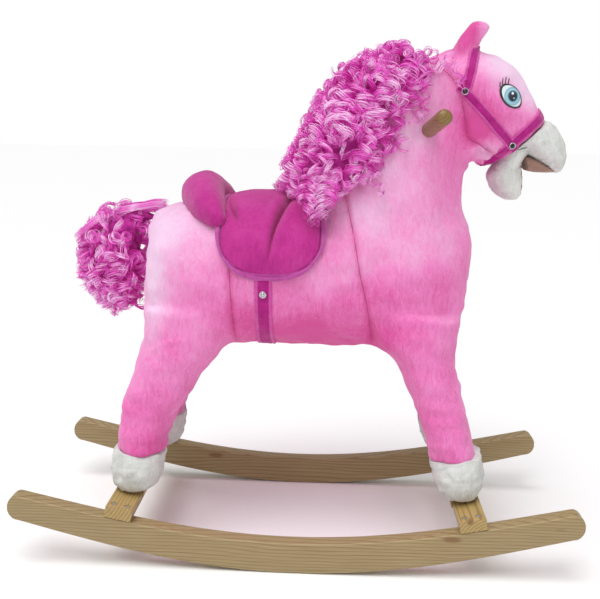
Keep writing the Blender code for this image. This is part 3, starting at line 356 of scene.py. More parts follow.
PALATE = (
    ((0.2900, 0.5360), (0.2960, 0.5135), 0.0290, 0), ((0.3020, 0.5330), (0.3040, 0.5120), 0.0320, 0),
    ((0.3180, 0.5240), (0.3190, 0.5115), 0.0300, 0), ((0.3300, 0.5170), (0.3305, 0.5120), 0.0180, 0),
)
JAW = (
    ((0.2530, 0.5210), (0.2845, 0.5320), 0.0260, 0), ((0.2455, 0.5080), (0.2890, 0.5180), 0.0320, 0),
    ((0.2500, 0.4930), (0.2910, 0.4990), 0.0330, 0), ((0.2600, 0.4815), (0.2905, 0.4850), 0.0280, 0),
    ((0.2700, 0.4760), (0.2860, 0.4770), 0.0160, 0),
)
EAR = (
    ((0.184, 0.648), (0.216, 0.650), 0.016, 0.0230), ((0.190, 0.669), (0.2155, 0.664), 0.014, 0.0235),
    ((0.201, 0.686), (0.2225, 0.675), 0.012, 0.0240), ((0.213, 0.6975), (0.2300, 0.6840), 0.010, 0.0240),
    ((0.2260, 0.6995), (0.2345, 0.6920), 0.006, 0.0240),
)
FRONT_SLEEVE = (
    ((0.088, 0.335), (0.212, 0.325), 0.046, 0.058), ((0.1006, 0.296), (0.2080, 0.280), 0.044, 0.062),
    ((0.1208, 0.274), (0.2096, 0.262), 0.042, 0.065), ((0.1429, 0.240), (0.2180, 0.228), 0.039, 0.069),
    ((0.1591, 0.199), (0.2300, 0.186), 0.036, 0.073), ((0.1722, 0.162), (0.2385, 0.149), 0.0345, 0.0765),
    ((0.1790, 0.136), (0.2440, 0.1415), 0.0330, 0.0785),
)
REAR_SLEEVE = (
    ((-0.205, 0.330), (-0.088, 0.335), 0.046, 0.058), ((-0.2060, 0.293), (-0.0960, 0.283), 0.044, 0.062),
    ((-0.2166, 0.255), (-0.1170, 0.254), 0.041, 0.067), ((-0.2286, 0.213), (-0.1499, 0.205), 0.037, 0.072),
    ((-0.2398, 0.160), (-0.1721, 0.161), 0.0345, 0.0765), ((-0.2435, 0.138), (-0.1775, 0.135), 0.0330, 0.0785),
)
JAW_PIVOT = np.array([0.2710, 0.0, 0.5385])
JAW_TRAVEL = 15  # degrees
SWEEP_GAP = 0.0015  # room left round the jaw where it swings
EAR_DROP = 0.006  # the left ear is sewn on a little lower than the right one
POLL = 0.645  # height above which only the ears stand out
print("torso rings", rings(TORSO).shape)


# %% Join the lofts into one skin
def swung_shut(points, degrees):
    """Points turned shut about the jaw's pin: a rotation in the XZ plane."""
    c, s = math.cos(math.radians(degrees)), math.sin(math.radians(degrees))
    x, z = points[..., 0] - JAW_PIVOT[0], points[..., 2] - JAW_PIVOT[2]
    return np.stack([JAW_PIVOT[0] + c * x - s * z, points[..., 1], JAW_PIVOT[2] + s * x + c * z], axis=-1)


def helper(name, points, faces):
    """A mesh object that only serves to make another one."""
    return piece("helper_" + name, points, faces)


def fused(name, parts, voxel, cutters=()):
    """One skin over several closed parts: cutters are taken away, then a voxel remesh joins the rest."""
    whole = helper(name, *joined(parts))
    tools = [helper(f"{name}_cut_{i}", *cutter) for i, cutter in enumerate(cutters)]
    for tool in tools:
        step = whole.modifiers.new("cut", "BOOLEAN")
        step.operation, step.solver, step.object = "DIFFERENCE", "EXACT", tool
    skin = whole.modifiers.new("skin", "REMESH")
    skin.mode, skin.voxel_size = "VOXEL", voxel
    shown = whole.evaluated_get(bpy.context.evaluated_depsgraph_get())
    mesh = bpy.data.meshes.new_from_object(shown)
    for tool in [whole, *tools]:
        bpy.data.objects.remove(tool)
    return mesh


def relax(points, edges, rounds, share=0.5):
    """Each point moves by share towards the mean of its neighbours, rounds times."""
    first, second = edges.T
    degree = np.bincount(edges.ravel(), minlength=len(points))[:, None]
    for _ in range(rounds):
        total = np.stack([np.bincount(first, points[second, k], len(points))
                          + np.bincount(second, points[first, k], len(points)) for k in range(3)], 1)
        points = points + share * (total / degree - points)
    return points


def read_mesh(mesh):
    """Points, normals and edges of a mesh as arrays."""
    flat = np.empty(len(mesh.vertices) * 3, np.float32)
    mesh.vertices.foreach_get("co", flat)
    points = flat.reshape(-1, 3).astype(float)
    mesh.vertex_normals.foreach_get("vector", flat)
    edges = np.empty(len(mesh.edges) * 2, np.int32)
    mesh.edges.foreach_get("vertices", edges)
    return points, flat.reshape(-1, 3).astype(float), edges.reshape(-1, 2)


def write_points(mesh, points):
    """Moves the mesh's points to the given places."""
    mesh.vertices.foreach_set("co", np.ascontiguousarray(points, np.float32).ravel())
    mesh.update()


def fill_creases(mesh, rounds, refresh=10):
    """Only outward moves of the smoothing are kept, so inside corners fill and full shapes keep their size.
    The share falls to a tenth above the poll, where the ears stand on a sharp crease."""
    for _ in range(rounds // refresh):
        points, normals, edges = read_mesh(mesh)
        share = np.clip(1 - (points[:, 2:] - POLL) / 0.010, 0.1, 1)
        for _ in range(refresh):
            gain = np.einsum("ij,ij->i", relax(points, edges, 1, 0.8) - points, normals)
            points = points + share * np.clip(gain, 0, None)[:, None] * normals
        write_points(mesh, points)


VOXEL = 0.003
left_ear = closed_rings(domed(rings(EAR, 8, 32), 0.003) - [0, 0, EAR_DROP])
body_parts = [closed_rings(rings(shape)) for shape in (TORSO, NECK)]
body_parts += [closed_rings(rings(shape, side=s)) for shape in (FRONT_SLEEVE, REAR_SLEEVE) for s in (1, -1)]
body_parts += [left_ear, closed_rings(domed(rings(EAR, 8, 32, side=-1), 0.003))]
jaw_cutters = [closed_rings(swung_shut(rings(JAW, 4, 32, grow=SWEEP_GAP), angle))
               for angle in (0, JAW_TRAVEL / 2, JAW_TRAVEL)]
head_loft = closed_rings(rings(HEAD))
head_faces = [face.tolist() for group in head_loft[1] for face in group]
head_tree = BVHTree.FromPolygons(head_loft[0].tolist(), head_faces)
head_mesh = fused("head", [head_loft], 0.0025, jaw_cutters)
head_points = read_mesh(head_mesh)[0]
head_quads = np.empty(len(head_mesh.loops), np.int32)
head_mesh.loops.foreach_get("vertex_index", head_quads)
body_parts.append((head_points, [head_quads.reshape(-1, 4)]))
skin_mesh = fused("body", body_parts, VOXEL)
fill_creases(skin_mesh, 120)
points, normals, edges = read_mesh(skin_mesh)
write_points(skin_mesh, relax(points, edges, 6))
print("skin points", len(points))

# %% [markdown]
# The panels meet in seams down the flanks, and pulled plush folds at the throat, the chest and above
# the legs. A seam is a narrow dip with a soft swelling on both sides; a fold is a raised line.

# %% Seams and folds
# Seams and folds are lines of (x, z); a brushed patch is x, z, its reach in x and in z, and its lean. The lean is
# partly brushed pile and partly painted light: painted sheen where positive, on tops that face the light, and
# painted shade where negative, under the belly, at the throat and in the ear.
SEAMS = (
    ((0.056, 0.486), (0.069, 0.433), (0.078, 0.386), (0.088, 0.346), (0.095, 0.306), (0.096, 0.288)),
    ((-0.088, 0.405), (-0.087, 0.391), (-0.083, 0.318), (-0.082, 0.286)),
    ((0.198, 0.606), (0.205, 0.575), (0.211, 0.556), (0.226, 0.548), (0.244, 0.537)),
    ((0.163, 0.650), (0.180, 0.635), (0.195, 0.618)),
)
BRUSHED_PATCHES_WITH_PAINTED_SHEEN_AND_SHADE = (
    (-0.165, 0.435, 0.055, 0.045, 0.26), (-0.190, 0.360, 0.020, 0.065, 0.20), (-0.120, 0.300, 0.035, 0.030, 0.08),
    (0.110, 0.460, 0.080, 0.075, 0.13), (0.120, 0.555, 0.060, 0.050, 0.10), (0.150, 0.600, 0.040, 0.040, 0.08),
    (0.262, 0.650, 0.034, 0.026, 0.24), (0.290, 0.612, 0.024, 0.024, 0.20), (0.236, 0.538, 0.018, 0.012, 0.22),
    (0.215, 0.600, 0.028, 0.040, -0.08), (0.225, 0.565, 0.030, 0.018, -0.12), (0.000, 0.300, 0.120, 0.034, -0.14),
    (0.165, 0.360, 0.040, 0.060, -0.05), (-0.200, 0.190, 0.040, 0.060, -0.09), (0.202, 0.690, 0.016, 0.034, -0.22),
    (0.228, 0.685, 0.008, 0.020, 0.14), (0.205, 0.190, 0.030, 0.060, 0.04),
)
FOLDS = (
    ((0.069, 0.489), (0.094, 0.473), (0.115, 0.455), (0.131, 0.438)),
    ((0.083, 0.498), (0.096, 0.486), (0.102, 0.468)),
    ((0.205, 0.556), (0.214, 0.540), (0.228, 0.533), (0.242, 0.533)),
    ((0.098, 0.330), (0.108, 0.310), (0.110, 0.296), (0.101, 0.285)),
    ((-0.195, 0.275), (-0.170, 0.290), (-0.140, 0.295)),
)
points, normals, edges = read_mesh(skin_mesh)
flat = points[:, [0, 2]]
flank = np.clip(np.abs(normals[:, 1]) * 2.2 - 0.35, 0, 1)
push = np.zeros(len(points))
seam_parted_pile_and_painted_shade = np.zeros(len(points))
for line in SEAMS:
    gap, _ = to_line(flat, smooth_rows(line, 6))
    wander = gap + 0.0003 * ripple(points, 0.040, 5)
    push += flank * (-0.0022 * bell(wander, 0.0036) + 0.0014 * bell(gap, 0.012))
    # Darker along each seam: partly the parted pile, partly painted shade in the groove.
    seam_parted_pile_and_painted_shade += 0.5 * flank * bell(wander, 0.0040)
for line in FOLDS:
    gap, share = to_line(flat, smooth_rows(line, 6))
    ends = np.sin(np.pi * np.clip(share, 0.02, 0.98)) ** 0.5
    push += flank * ends * (0.0022 * bell(gap, 0.0032) - 0.0012 * bell(gap, 0.010))
throat = bell(np.linalg.norm(flat - [0.236, 0.536], axis=1), 0.022)
push += 0.0026 * throat * ripple(points, 0.013, 8)
legs = np.clip((0.30 - points[:, 2]) / 0.10, 0, 1)
push += 0.0011 * ripple(points, 0.060, 3) + 0.0006 * ripple(points, 0.024, 4)
push += 0.0008 * legs * ripple(points * [0.6, 0.6, 1.6], 0.030, 6)
write_points(skin_mesh, points + normals * push[:, None])
mark(skin_mesh, "seam", np.clip(seam_parted_pile_and_painted_shade * 0.9, 0, 1))
# Painted light: the patches and the normal's z term paint sheen on upward-facing skin and shade below, on top of a
# small random drift.
lean = sum(much * np.exp(-((flat[:, 0] - x) / wide) ** 2 - ((flat[:, 1] - z) / high) ** 2)
           for x, z, wide, high, much in BRUSHED_PATCHES_WITH_PAINTED_SHEEN_AND_SHADE)
lean = lean + 0.06 * normals[:, 2] + 0.02 * ripple(points, 0.070, 9)
mark(skin_mesh, "brushed_with_painted_sheen_and_shade", lean)
skin_mesh.polygons.foreach_set("use_smooth", np.ones(len(skin_mesh.polygons), bool))
skin_mesh.materials.clear()
skin_mesh.materials.append(pink_plush)
skin = bpy.data.objects.new("plush_skin", skin_mesh)
bpy.context.scene.collection.objects.link(skin)
sleeves = [f"leg_sleeve_{end}_{side}" for end in ("front", "rear") for side in SIDES]
dress(skin, "body", ["torso_plush", "neck_plush", "head_plush", "ear_left", "ear_right", *sleeves])
skin_tree = BVHTree.FromObject(skin, bpy.context.evaluated_depsgraph_get())
print("skin box", np.round([points.min(0), points.max(0)], 3).tolist())


def lay_on(origins, directions, tree=skin_tree):
    """Where rays from the origins first meet the skin, and the skin's normals there, as arrays.
    A ray that misses stops a tenth of a metre along its direction."""
    shape = origins.shape
    hits = []
    for start, run in zip(origins.reshape(-1, 3), np.broadcast_to(directions, shape).reshape(-1, 3)):
        place, normal, _, _ = tree.ray_cast(Vector(start), Vector(run))
        hits.append((*(place or Vector(start + 0.1 * run)), *(normal or Vector(-run))))
    hits = np.array(hits)
    return hits[:, :3].reshape(shape), hits[:, 3:].reshape(shape)


BESIDE = 0.2  # well outside the horse, which is 0.15 m to a side


def from_side(x, z, side):
    """Where level rays from one side meet the skin at (x, z), and the skin's normals there."""
    return lay_on(np.stack([x, np.full(np.shape(x), side * BESIDE), z], -1), np.array([0, -side, 0.0]))


# %% [markdown]
# A seam shows as a thin dark line because the two edges turn inward and their pile parts. The groove in
# the skin is too coarse for that line, so a thin tube of shaded plush lies in it.

# %% Seam lines
seam_shade, _, seam_shader = new_material("plush_in_seam_shade", Roughness=0.95)
seam_shader.inputs["Base Color"].default_value = dye("#B8488C")


def thin_tubes(points, radius):
    """Three-sided tubes along lines of points (line, step, xyz), closed to a point at both ends."""
    count, steps = points.shape[:2]
    along = unit(np.gradient(points, axis=1))
    guide = np.where(np.abs(along[..., 2:3]) > 0.9, [1.0, 0, 0], [0, 0, 1.0])
    side = unit(np.cross(along, guide))
    up = np.cross(along, side)
    taper = np.minimum(1, np.minimum(np.linspace(0, 6, steps), np.linspace(5, 0, steps)) + 0.12)
    width = (np.broadcast_to(radius, (count,))[:, None] * taper)[..., None]
    corners = [points + width * (math.cos(a) * side + math.sin(a) * up) for a in np.radians([90, 210, 330])]
    base = (np.arange(count) * steps * 3)[:, None, None]
    ends = np.array([[0, 2, 1], [steps * 3 - 3, steps * 3 - 2, steps * 3 - 1]])
    return np.stack(corners, axis=2).reshape(-1, 3), [(grid_faces(steps, 3)[None] + base).reshape(-1, 4),
                                                      (ends[None] + base).reshape(-1, 3)]


seam_lines = []
for line in SEAMS:
    flat_line = smooth_rows(line, 40)
    flat_line = flat_line[np.linspace(0, len(flat_line) - 1, 160).astype(int)]
    for side in SIDES.values():
        hits, _ = from_side(*flat_line.T, side)
        for _ in range(4):
            hits[1:-1] = (hits[:-2] + 2 * hits[1:-1] + hits[2:]) / 4
        seam_lines.append(hits)
piece("plush_seam_lines", *thin_tubes(np.array(seam_lines), 0.0006), seam_shade, "body", "pink_plush")
print("seam lines", len(seam_lines))

# %% [markdown]
# ## Muzzle, mouth and hooves
# The white parts are a longer plush, about 5 mm of pile, sewn on over the pink. The same lofts are used,
# finer, and low ripples stand for tufts of pile. The jaw hangs from its own pin, so it rides on its own
# body. Its mouth side is a flannel lining, picked by the angle round the ring.

# %% White plush pieces
FRONT_CUFF = (
    ((0.1785, 0.137), (0.2465, 0.146), 0.0340, 0.0785), ((0.1815, 0.124), (0.2490, 0.130), 0.0358, 0.0793),
    ((0.1855, 0.110), (0.2505, 0.115), 0.0362, 0.0800), ((0.1930, 0.095), (0.2480, 0.100), 0.0330, 0.0805),
    ((0.2020, 0.0850), (0.2430, 0.0890), 0.0260, 0.0805),
)
REAR_CUFF = (
    ((-0.2455, 0.138), (-0.1770, 0.135), 0.0340, 0.0785), ((-0.2475, 0.125), (-0.1785, 0.123), 0.0358, 0.0793),
    ((-0.2485, 0.111), (-0.1800, 0.110), 0.0362, 0.0800), ((-0.2470, 0.095), (-0.1860, 0.092), 0.0330, 0.0805),
    ((-0.2420, 0.0855), (-0.1970, 0.0835), 0.0260, 0.0805),
)


def tufted(points, tuft, height, seed, sag=0.0):
    """Rings of a pile surface: every point moves out from its ring's middle by ripples of tuft size."""
    middle = points.mean(1, keepdims=True)
    out = points - middle
    out /= np.maximum(np.linalg.norm(out, axis=-1, keepdims=True), 1e-6)
    flat = points.reshape(-1, 3)
    wave = ripple(flat, tuft, seed) + 0.45 * ripple(flat, tuft / 2.7, seed + 1)
    return points + out * (height * wave.reshape(points.shape[:2]) + sag)[..., None]


def jaw_picks(count, sides):
    """1, the lining, for quads round the ring's mouth end, else 0, the white plush."""
    angle = np.arange(sides) / sides * 2 * np.pi
    mouth = (np.abs(angle + np.pi / sides - np.pi) < 0.62).astype(int)
    return np.concatenate([np.tile(mouth, count - 1), np.zeros(sides * 2, int)])


jaw_rings = tufted(domed(rings(JAW, 10, 72), 0.0008), 0.010, 0.0004, 21)
crease = to_line(jaw_rings.reshape(-1, 3)[:, [0, 2]], [(0.262, 0.527), (0.266, 0.512), (0.272, 0.503)])[0]
out = np.sign(jaw_rings[..., 1:2]) * np.array([0, 1, 0])
jaw_rings = jaw_rings - out * (0.0022 * bell(crease, 0.0026)).reshape(jaw_rings.shape[:2])[..., None]
jaw = piece("jaw_plush_cover", *closed_rings(jaw_rings), [white_plush, lining], "jaw", "white_plush",
            ["jaw_plush"], picks=jaw_picks(*jaw_rings.shape[:2]))
muzzle_rings = tufted(domed(rings(MUZZLE, 10, 72), 0.002), 0.012, 0.0006, 22)
cleft = bell(muzzle_rings[..., 1], 0.004) * np.clip((muzzle_rings[..., 0] - 0.315) / 0.02, 0, 1)
muzzle_rings[..., 0] -= 0.0022 * cleft
muzzle = piece("muzzle_cover", *closed_rings(muzzle_rings), white_plush, "body", "white_plush", ["muzzle_plush"])
palate_rings = tufted(domed(rings(PALATE, 8, 48, grow=-0.0008), 0.001), 0.012, 0.0002, 23)
palate = piece("palate_cover", *closed_rings(palate_rings), lining, "body", "mouth_lining", ["palate_lining"])
MOUTH_CORNER = (
    ((0.3020, 0.5480), (0.2580, 0.5360), 0.0340, 0), ((0.2960, 0.5380), (0.2560, 0.5320), 0.0335, 0),
    ((0.2900, 0.5280), (0.2535, 0.5240), 0.0325, 0), ((0.2870, 0.5180), (0.2500, 0.5140), 0.0310, 0),
    ((0.2850, 0.5080), (0.2520, 0.5060), 0.0270, 0),
)
corner_rings = tufted(domed(rings(MOUTH_CORNER, 8, 64), 0.002), 0.011, 0.0005, 27)
corner_piece = piece("mouth_corner_gusset", *closed_rings(corner_rings), white_plush)
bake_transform(corner_piece)
for end, shape in (("front", FRONT_CUFF), ("rear", REAR_CUFF)):
    for side_name, side in SIDES.items():
        cuff_rings = tufted(domed(rings(shape, 10, 64, side=side), 0.0015), 0.013, 0.0006, 24 + side)
        lift = 0.0016 * ripple(cuff_rings[3:12].reshape(-1, 3), 0.030, 31).reshape(9, -1)
        cuff_rings[3:12, :, 2] += lift * np.linspace(1, 0, 9)[:, None]
        name = f"hoof_cuff_{end}_{side_name}"
        cuff = piece(name + "_pile", *closed_rings(cuff_rings), white_plush, "body", "white_plush", [name])
print("white plush pieces", len(jaw.data.vertices), len(muzzle.data.vertices))

# %% [markdown]
# ## Pine
# The rockers and crossbars are planed softwood under a thin clear coat. Pine shows growth rings about
# 4 mm apart: cylinders round the pith, cut lengthwise into long streaks and across into arcs. So the
# grain is worked out in the solid: the distance from a far-off pith line, bent by a slow noise, repeats
# every ring. The same material then gives streaks on a face and arcs on the end of a board.

# %% Wood materials
def pine(name, axis, pith, early, late, wander=0.006):
    """Softwood rings round a pith line along axis (0 for X, 1 for Y, 2 for Z), through the point pith."""
    made, tree, shader = new_material(name, Roughness=0.42, Specular_IOR_Level=0.4, IOR=1.5, Coat_Weight=0.18,
                                      Coat_Roughness=0.3)
    keep = [0.0 if k == axis else 1.0 for k in range(3)]
    place = [-p * k for p, k in zip(pith, keep)]
    long_scale = [per_mm(220) if k == axis else per_mm(45) for k in range(3)]
    across = stretched(tree, place, keep)
    bend = add_node(tree, "ShaderNodeTexNoise", {"Vector": stretched(tree, (0, 0, 0), long_scale), "Scale": 1.0,
                                                 "Detail": 2.0, "Roughness": 0.5}).outputs["Fac"]
    radius = add_node(tree, "ShaderNodeVectorMath", {0: across}, operation="LENGTH").outputs["Value"]
    radius = add_node(tree, "ShaderNodeMath", {0: bend, 1: wander * 2.5, 2: radius},
                      operation="MULTIPLY_ADD").outputs[0]
    ring = add_node(tree, "ShaderNodeMath", {0: radius, 1: per_mm(4.2)}, operation="MULTIPLY").outputs[0]
    ring = add_node(tree, "ShaderNodeMath", {0: ring}, operation="FRACT").outputs[0]
    colour = add_node(tree, "ShaderNodeValToRGB", {"Fac": ring}, stops=[
        (0.0, dye(early)), (0.55, dye(early)), (0.86, dye(late)), (0.97, dye(early))]).outputs["Color"]
    fine_scale = [per_mm(60) if k == axis else per_mm(1.2) for k in range(3)]
    fibre = add_node(tree, "ShaderNodeTexNoise", {"Vector": stretched(tree, (0, 0, 0), fine_scale), "Scale": 1.0,
                                                  "Detail": 3.0, "Roughness": 0.6}).outputs["Fac"]
    tint = add_node(tree, "ShaderNodeValToRGB", {"Fac": fibre}, stops=[
        (0.3, dye("#D9CDBD")), (0.7, dye("#FFFFFF"))]).outputs["Color"]
    colour = add_node(tree, "ShaderNodeMix", {"Factor": 0.8, 6: colour, 7: tint}, data_type="RGBA",
                      blend_type="MULTIPLY").outputs[2]
    knots = add_node(tree, "ShaderNodeTexVoronoi", {
        "Vector": stretched(tree, (0.4, 0.1, 0.3), [per_mm(150) if k == axis else per_mm(52) for k in range(3)]),
        "Scale": 1.0, "Randomness": 1.0}).outputs["Distance"]
    knot = add_node(tree, "ShaderNodeMapRange", {"Value": knots, "From Min": 0.05, "From Max": 0.10, "To Min": 0.75,
                                                 "To Max": 0.0}).outputs[0]
    colour = add_node(tree, "ShaderNodeMix", {"Factor": knot, 6: colour, 7: dye("#7A5230")},
                      data_type="RGBA").outputs[2]
    tree.links.new(colour, shader.inputs["Base Color"])
    grain = add_node(tree, "ShaderNodeBump", {"Height": fibre, "Strength": 0.25, "Distance": 0.0003}).outputs[0]
    tree.links.new(grain, shader.inputs["Normal"])
    return made


rocker_pine = {side: pine(f"planed_pine_rocker_{side}", 0, (0, 0.15 * s + 0.035 * s, -0.045), "#AB986F",
                          "#907A4E") for side, s in SIDES.items()}
bar_pine = {end: pine(f"planed_pine_crossbar_{end}", 1, (x, 0, z), "#BCA36B", "#957640", 0.003)
            for end, x, z in (("front", 0.262, 0.040), ("rear", -0.270, 0.110))}
frame_pine = pine("sawn_pine_frame", 2, (0.05, 0.05, 0), "#CBAC7A", "#A9804A")
grip_wood = pine("turned_beech_grip", 1, (0.160, 0, 0.590), "#8F7341", "#7F6436", 0.002)
print("wood", frame_pine.name)

# %% [markdown]
# ## Rockers
# A rocker is band-sawn from a flat board, then its edges are eased so that nothing cuts a hand. The
# shape is a profile carried along a path: at every x a rounded rectangle stands between the running
# edge and the top edge, and the tips close like a half circle.

# %% Rockers and crossbars
ROCKER_LENGTH, ROCKER_SPREAD, ROCKER_THICK, ROCKER_DEPTH = 0.740, 0.300, 0.022, 0.041
EASED, TIP = 0.0022, 0.013
FLAT_FROM, FLAT_TO = -0.030, 0.045


def running_curve(x):
    """Height of the running curve: 0.5816 x^2 - 0.8427 x^4."""
    return 0.5816 * x ** 2 - 0.8427 * x ** 4


def eased_outline(width, height, radius, corner_points=6):
    """Rounded rectangles with half sizes width and height: each corner's centre lies radius inside the
    corner, and the outline is that centre + radius * (cos, sin)."""
    angle = np.concatenate([np.linspace(q, q + 90, corner_points) for q in (0, 90, 180, 270)]) * np.pi / 180
    quarter = np.repeat([0, 1, 2, 3], corner_points)
    sign_a, sign_b = np.array([1, -1, -1, 1])[quarter], np.array([1, 1, -1, -1])[quarter]
    a = sign_a * (width[:, None] - radius) + radius * np.cos(angle)
    b = sign_b * (height[:, None] - radius) + radius * np.sin(angle)
    return a, b


def rocker_rings(side, steps=240):
    """Rounded rectangles along x: height runs between the two edges, and over the last TIP of each end it
    falls as the root of 1 - 0.92 t^2."""
    half = ROCKER_LENGTH / 2
    x = np.concatenate([-half + TIP * (1 - np.cos(np.linspace(0.06, np.pi / 2, 14))),
                        np.linspace(-half + TIP, half - TIP, steps)[1:-1],
                        half - TIP * (1 - np.cos(np.linspace(np.pi / 2, 0.06, 14)))])
    inner = np.clip(np.abs(x) - (half - TIP), 0, None) / TIP
    flat_x = np.clip(x, -(half - TIP), half - TIP)
    low = np.clip(running_curve(flat_x) - running_curve(FLAT_FROM), 0, None)
    low = np.where((flat_x > FLAT_FROM) & (flat_x < FLAT_TO), 0, low)
    top = running_curve(flat_x) + ROCKER_DEPTH - 0.060 * flat_x ** 2
    reach = (top - low) / 2 * np.sqrt(np.clip(1 - 0.92 * inner ** 2, 0, 1))
    wide = np.full(len(x), ROCKER_THICK / 2)
    a, b = eased_outline(wide, reach, np.minimum(EASED, reach * 0.6)[:, None])
    y = side * (ROCKER_SPREAD - ROCKER_THICK) / 2 + a
    return np.stack([np.broadcast_to(x[:, None], y.shape), y, ((top + low) / 2)[:, None] + b], axis=-1)


for side_name, side in SIDES.items():
    piece(f"rocker_{side_name}_board", *closed_rings(rocker_rings(side)), rocker_pine[side_name], "body", "pine",
          [f"rocker_{side_name}"])
print("rocker edge height at the tips", round(float(running_curve(0.357)), 4))


def soften_cad(name, material, width):
    """A CAD node keeps its mesh: a Weld joins its loose triangles and a small Bevel eases its edges."""
    node = nodes[name]
    node.data.materials.clear()
    node.data.materials.append(material)
    if width:
        weld = node.modifiers.new("weld", "WELD")
        weld.merge_threshold = 0.00002
        ease = node.modifiers.new("ease", "BEVEL")
        ease.width, ease.segments, ease.limit_method, ease.angle_limit = width, 2, "ANGLE", math.radians(50)
        ease.harden_normals = False
    return node


for end in ("front", "rear"):
    soften_cad(f"crossbar_{end}", bar_pine[end], 0.0008)
    for side_name in SIDES:
        soften_cad(f"leg_post_{end}_{side_name}", frame_pine, 0.0)
for name in ("seat_board", "neck_board"):
    soften_cad(name, frame_pine, 0.0)

# %% [markdown]
# ## Small metal and plastic parts
# Screws are zinc-plated steel with a cross recess; rivets are a black enamelled dome in a nickel ring;
# the girth has a bright snap. All are turned shapes, so each is a profile spun round an axis, and the
# recess is a height pressed into the head. The plastic parts are injection-moulded ABS, slightly matt.

# %% Metal and plastic materials
def metal(name, colour, roughness, grit_mm):
    """Bare or plated metal: full metallic, with a fine unevenness in its roughness."""
    made, tree, shader = new_material(name, Metallic=1.0, Roughness=roughness)
    shader.inputs["Base Color"].default_value = dye(colour)
    grit = add_node(tree, "ShaderNodeTexNoise", {"Vector": stretched(tree, (0, 0, 0), [per_mm(grit_mm)] * 3),
                                                 "Scale": 1.0, "Detail": 2.0}).outputs["Fac"]
    spread = add_node(tree, "ShaderNodeMapRange", {"Value": grit, "To Min": roughness * 0.75,
                                                   "To Max": roughness * 1.35}).outputs[0]
    tree.links.new(spread, shader.inputs["Roughness"])
    return made


def moulded(name, colour, roughness, grain_mm):
    """Moulded plastic or enamel: IOR near 1.5 and a fine spark-eroded texture from the mould."""
    made, tree, shader = new_material(name, Roughness=roughness, IOR=1.5)
    shader.inputs["Base Color"].default_value = dye(colour)
    grain = add_node(tree, "ShaderNodeTexNoise", {"Vector": stretched(tree, (0, 0, 0), [per_mm(grain_mm)] * 3),
                                                  "Scale": 1.0, "Detail": 2.0}).outputs["Fac"]
    bump = add_node(tree, "ShaderNodeBump", {"Height": grain, "Strength": 0.2, "Distance": 0.0001}).outputs[0]
    tree.links.new(bump, shader.inputs["Normal"])
    return made


zinc = metal("zinc_plated_steel", "#B9B5AC", 0.34, 1.2)
nickel = metal("nickel_plated_ring", "#C9C9CC", 0.30, 1.0)
enamel = moulded("black_enamel_dome", "#0B0B0E", 0.16, 0.8)
abs_white = moulded("moulded_white_abs", "#D6D6D2", 0.42, 0.7)
abs_black = moulded("moulded_black_abs", "#1B1B1D", 0.45, 0.7)
for name in ("battery_sound_box", "battery_door", "jaw_arm", "mouth_gearbox", "tail_gearbox", "tail_rod"):
    soften_cad(name, abs_white, 0.0004 if name == "battery_door" else 0.0)
soften_cad("power_switch", abs_black, 0.0004)
soften_cad("jaw_hinge_pin", zinc, 0.0)


# %% Turned parts
def spun(profile, sides=40):
    """A profile of (radius, height) pairs spun round Z, as rings of points."""
    radius, height = np.asarray(profile, float).T
    angle = np.linspace(0, 2 * np.pi, sides, endpoint=False)
    return np.stack([radius[:, None] * np.cos(angle), radius[:, None] * np.sin(angle),
                     np.broadcast_to(height[:, None], (len(radius), sides))], axis=-1)


def placed(points, where, up):
    """Points made round Z, turned so that Z runs along up, and moved to where."""
    turn = np.array(Vector(up).to_track_quat("Z", "Y").to_matrix())
    return points @ turn.T + np.asarray(where)


def node_line(name):
    """Middle of a long node's upper end and its direction upwards, from the spread of its points."""
    cloud = np.array([v.co for v in nodes[name].data.vertices])
    middle = cloud.mean(0)
    axis = np.linalg.svd(cloud - middle)[2][0]
    axis = axis if axis[2] > 0 else -axis
    return middle + axis * ((cloud - middle) @ axis).max(), axis, middle + axis * ((cloud - middle) @ axis).min()


def screw_rings(head, up, foot):
    """Countersunk head with a cross recess, then the shank down to its point."""
    radii = np.concatenate([np.linspace(0.0002, 0.0036, 22), [0.0038, 0.0036, 0.0021, 0.0021, 0.0009]])
    drop = np.concatenate([np.full(22, 0.0002), [0.0003, 0.0006, 0.0028, 0.030, 0.034]])
    shape = spun(np.stack([radii, -drop], 1), 64)
    x, y = shape[:22, :, 0], shape[:22, :, 1]
    arm = np.minimum(np.maximum(np.abs(x) - 0.0021, np.abs(y) - 0.00045),
                     np.maximum(np.abs(y) - 0.0021, np.abs(x) - 0.00045))
    shape[:22, :, 2] -= 0.0013 * np.clip(-arm / 0.00028, 0, 1)
    return placed(shape, head, up)


for end in ("front", "rear"):
    for side_name in SIDES:
        for number in (1, 2):
            name = f"bar_screw_{end}_{side_name}_{number}"
            points, faces = closed_rings(screw_rings(*node_line(name)))
            piece(name + "_turned", points, faces, zinc, "body", "zinc_steel", [name])
print("screws done")


def grip_rings(name):
    """The turned grip: a slight barrel along its length and a domed end, from its own node's line."""
    cloud = np.array([v.co for v in nodes[name].data.vertices])
    middle = cloud.mean(0)
    axis = np.linalg.svd(cloud - middle)[2][0]
    axis = axis if axis[1] * middle[1] > 0 else -axis
    reach = (cloud - middle) @ axis
    start, length = middle + axis * reach.min(), reach.max() - reach.min()
    bend = np.linspace(0, np.pi / 2 - 0.05, 14)
    profile = [(0.0095, 0.0), (0.0093, length * 0.3), (0.0096, length * 0.7)]
    profile += [(0.0097 * math.cos(a), length - 0.0075 + 0.0075 * math.sin(a)) for a in bend]
    return placed(spun(profile, 48), start, axis)


for side_name in SIDES:
    name = f"handle_{side_name}"
    piece(name + "_turned", *closed_rings(grip_rings(name)), grip_wood, "body", "pine", [name])
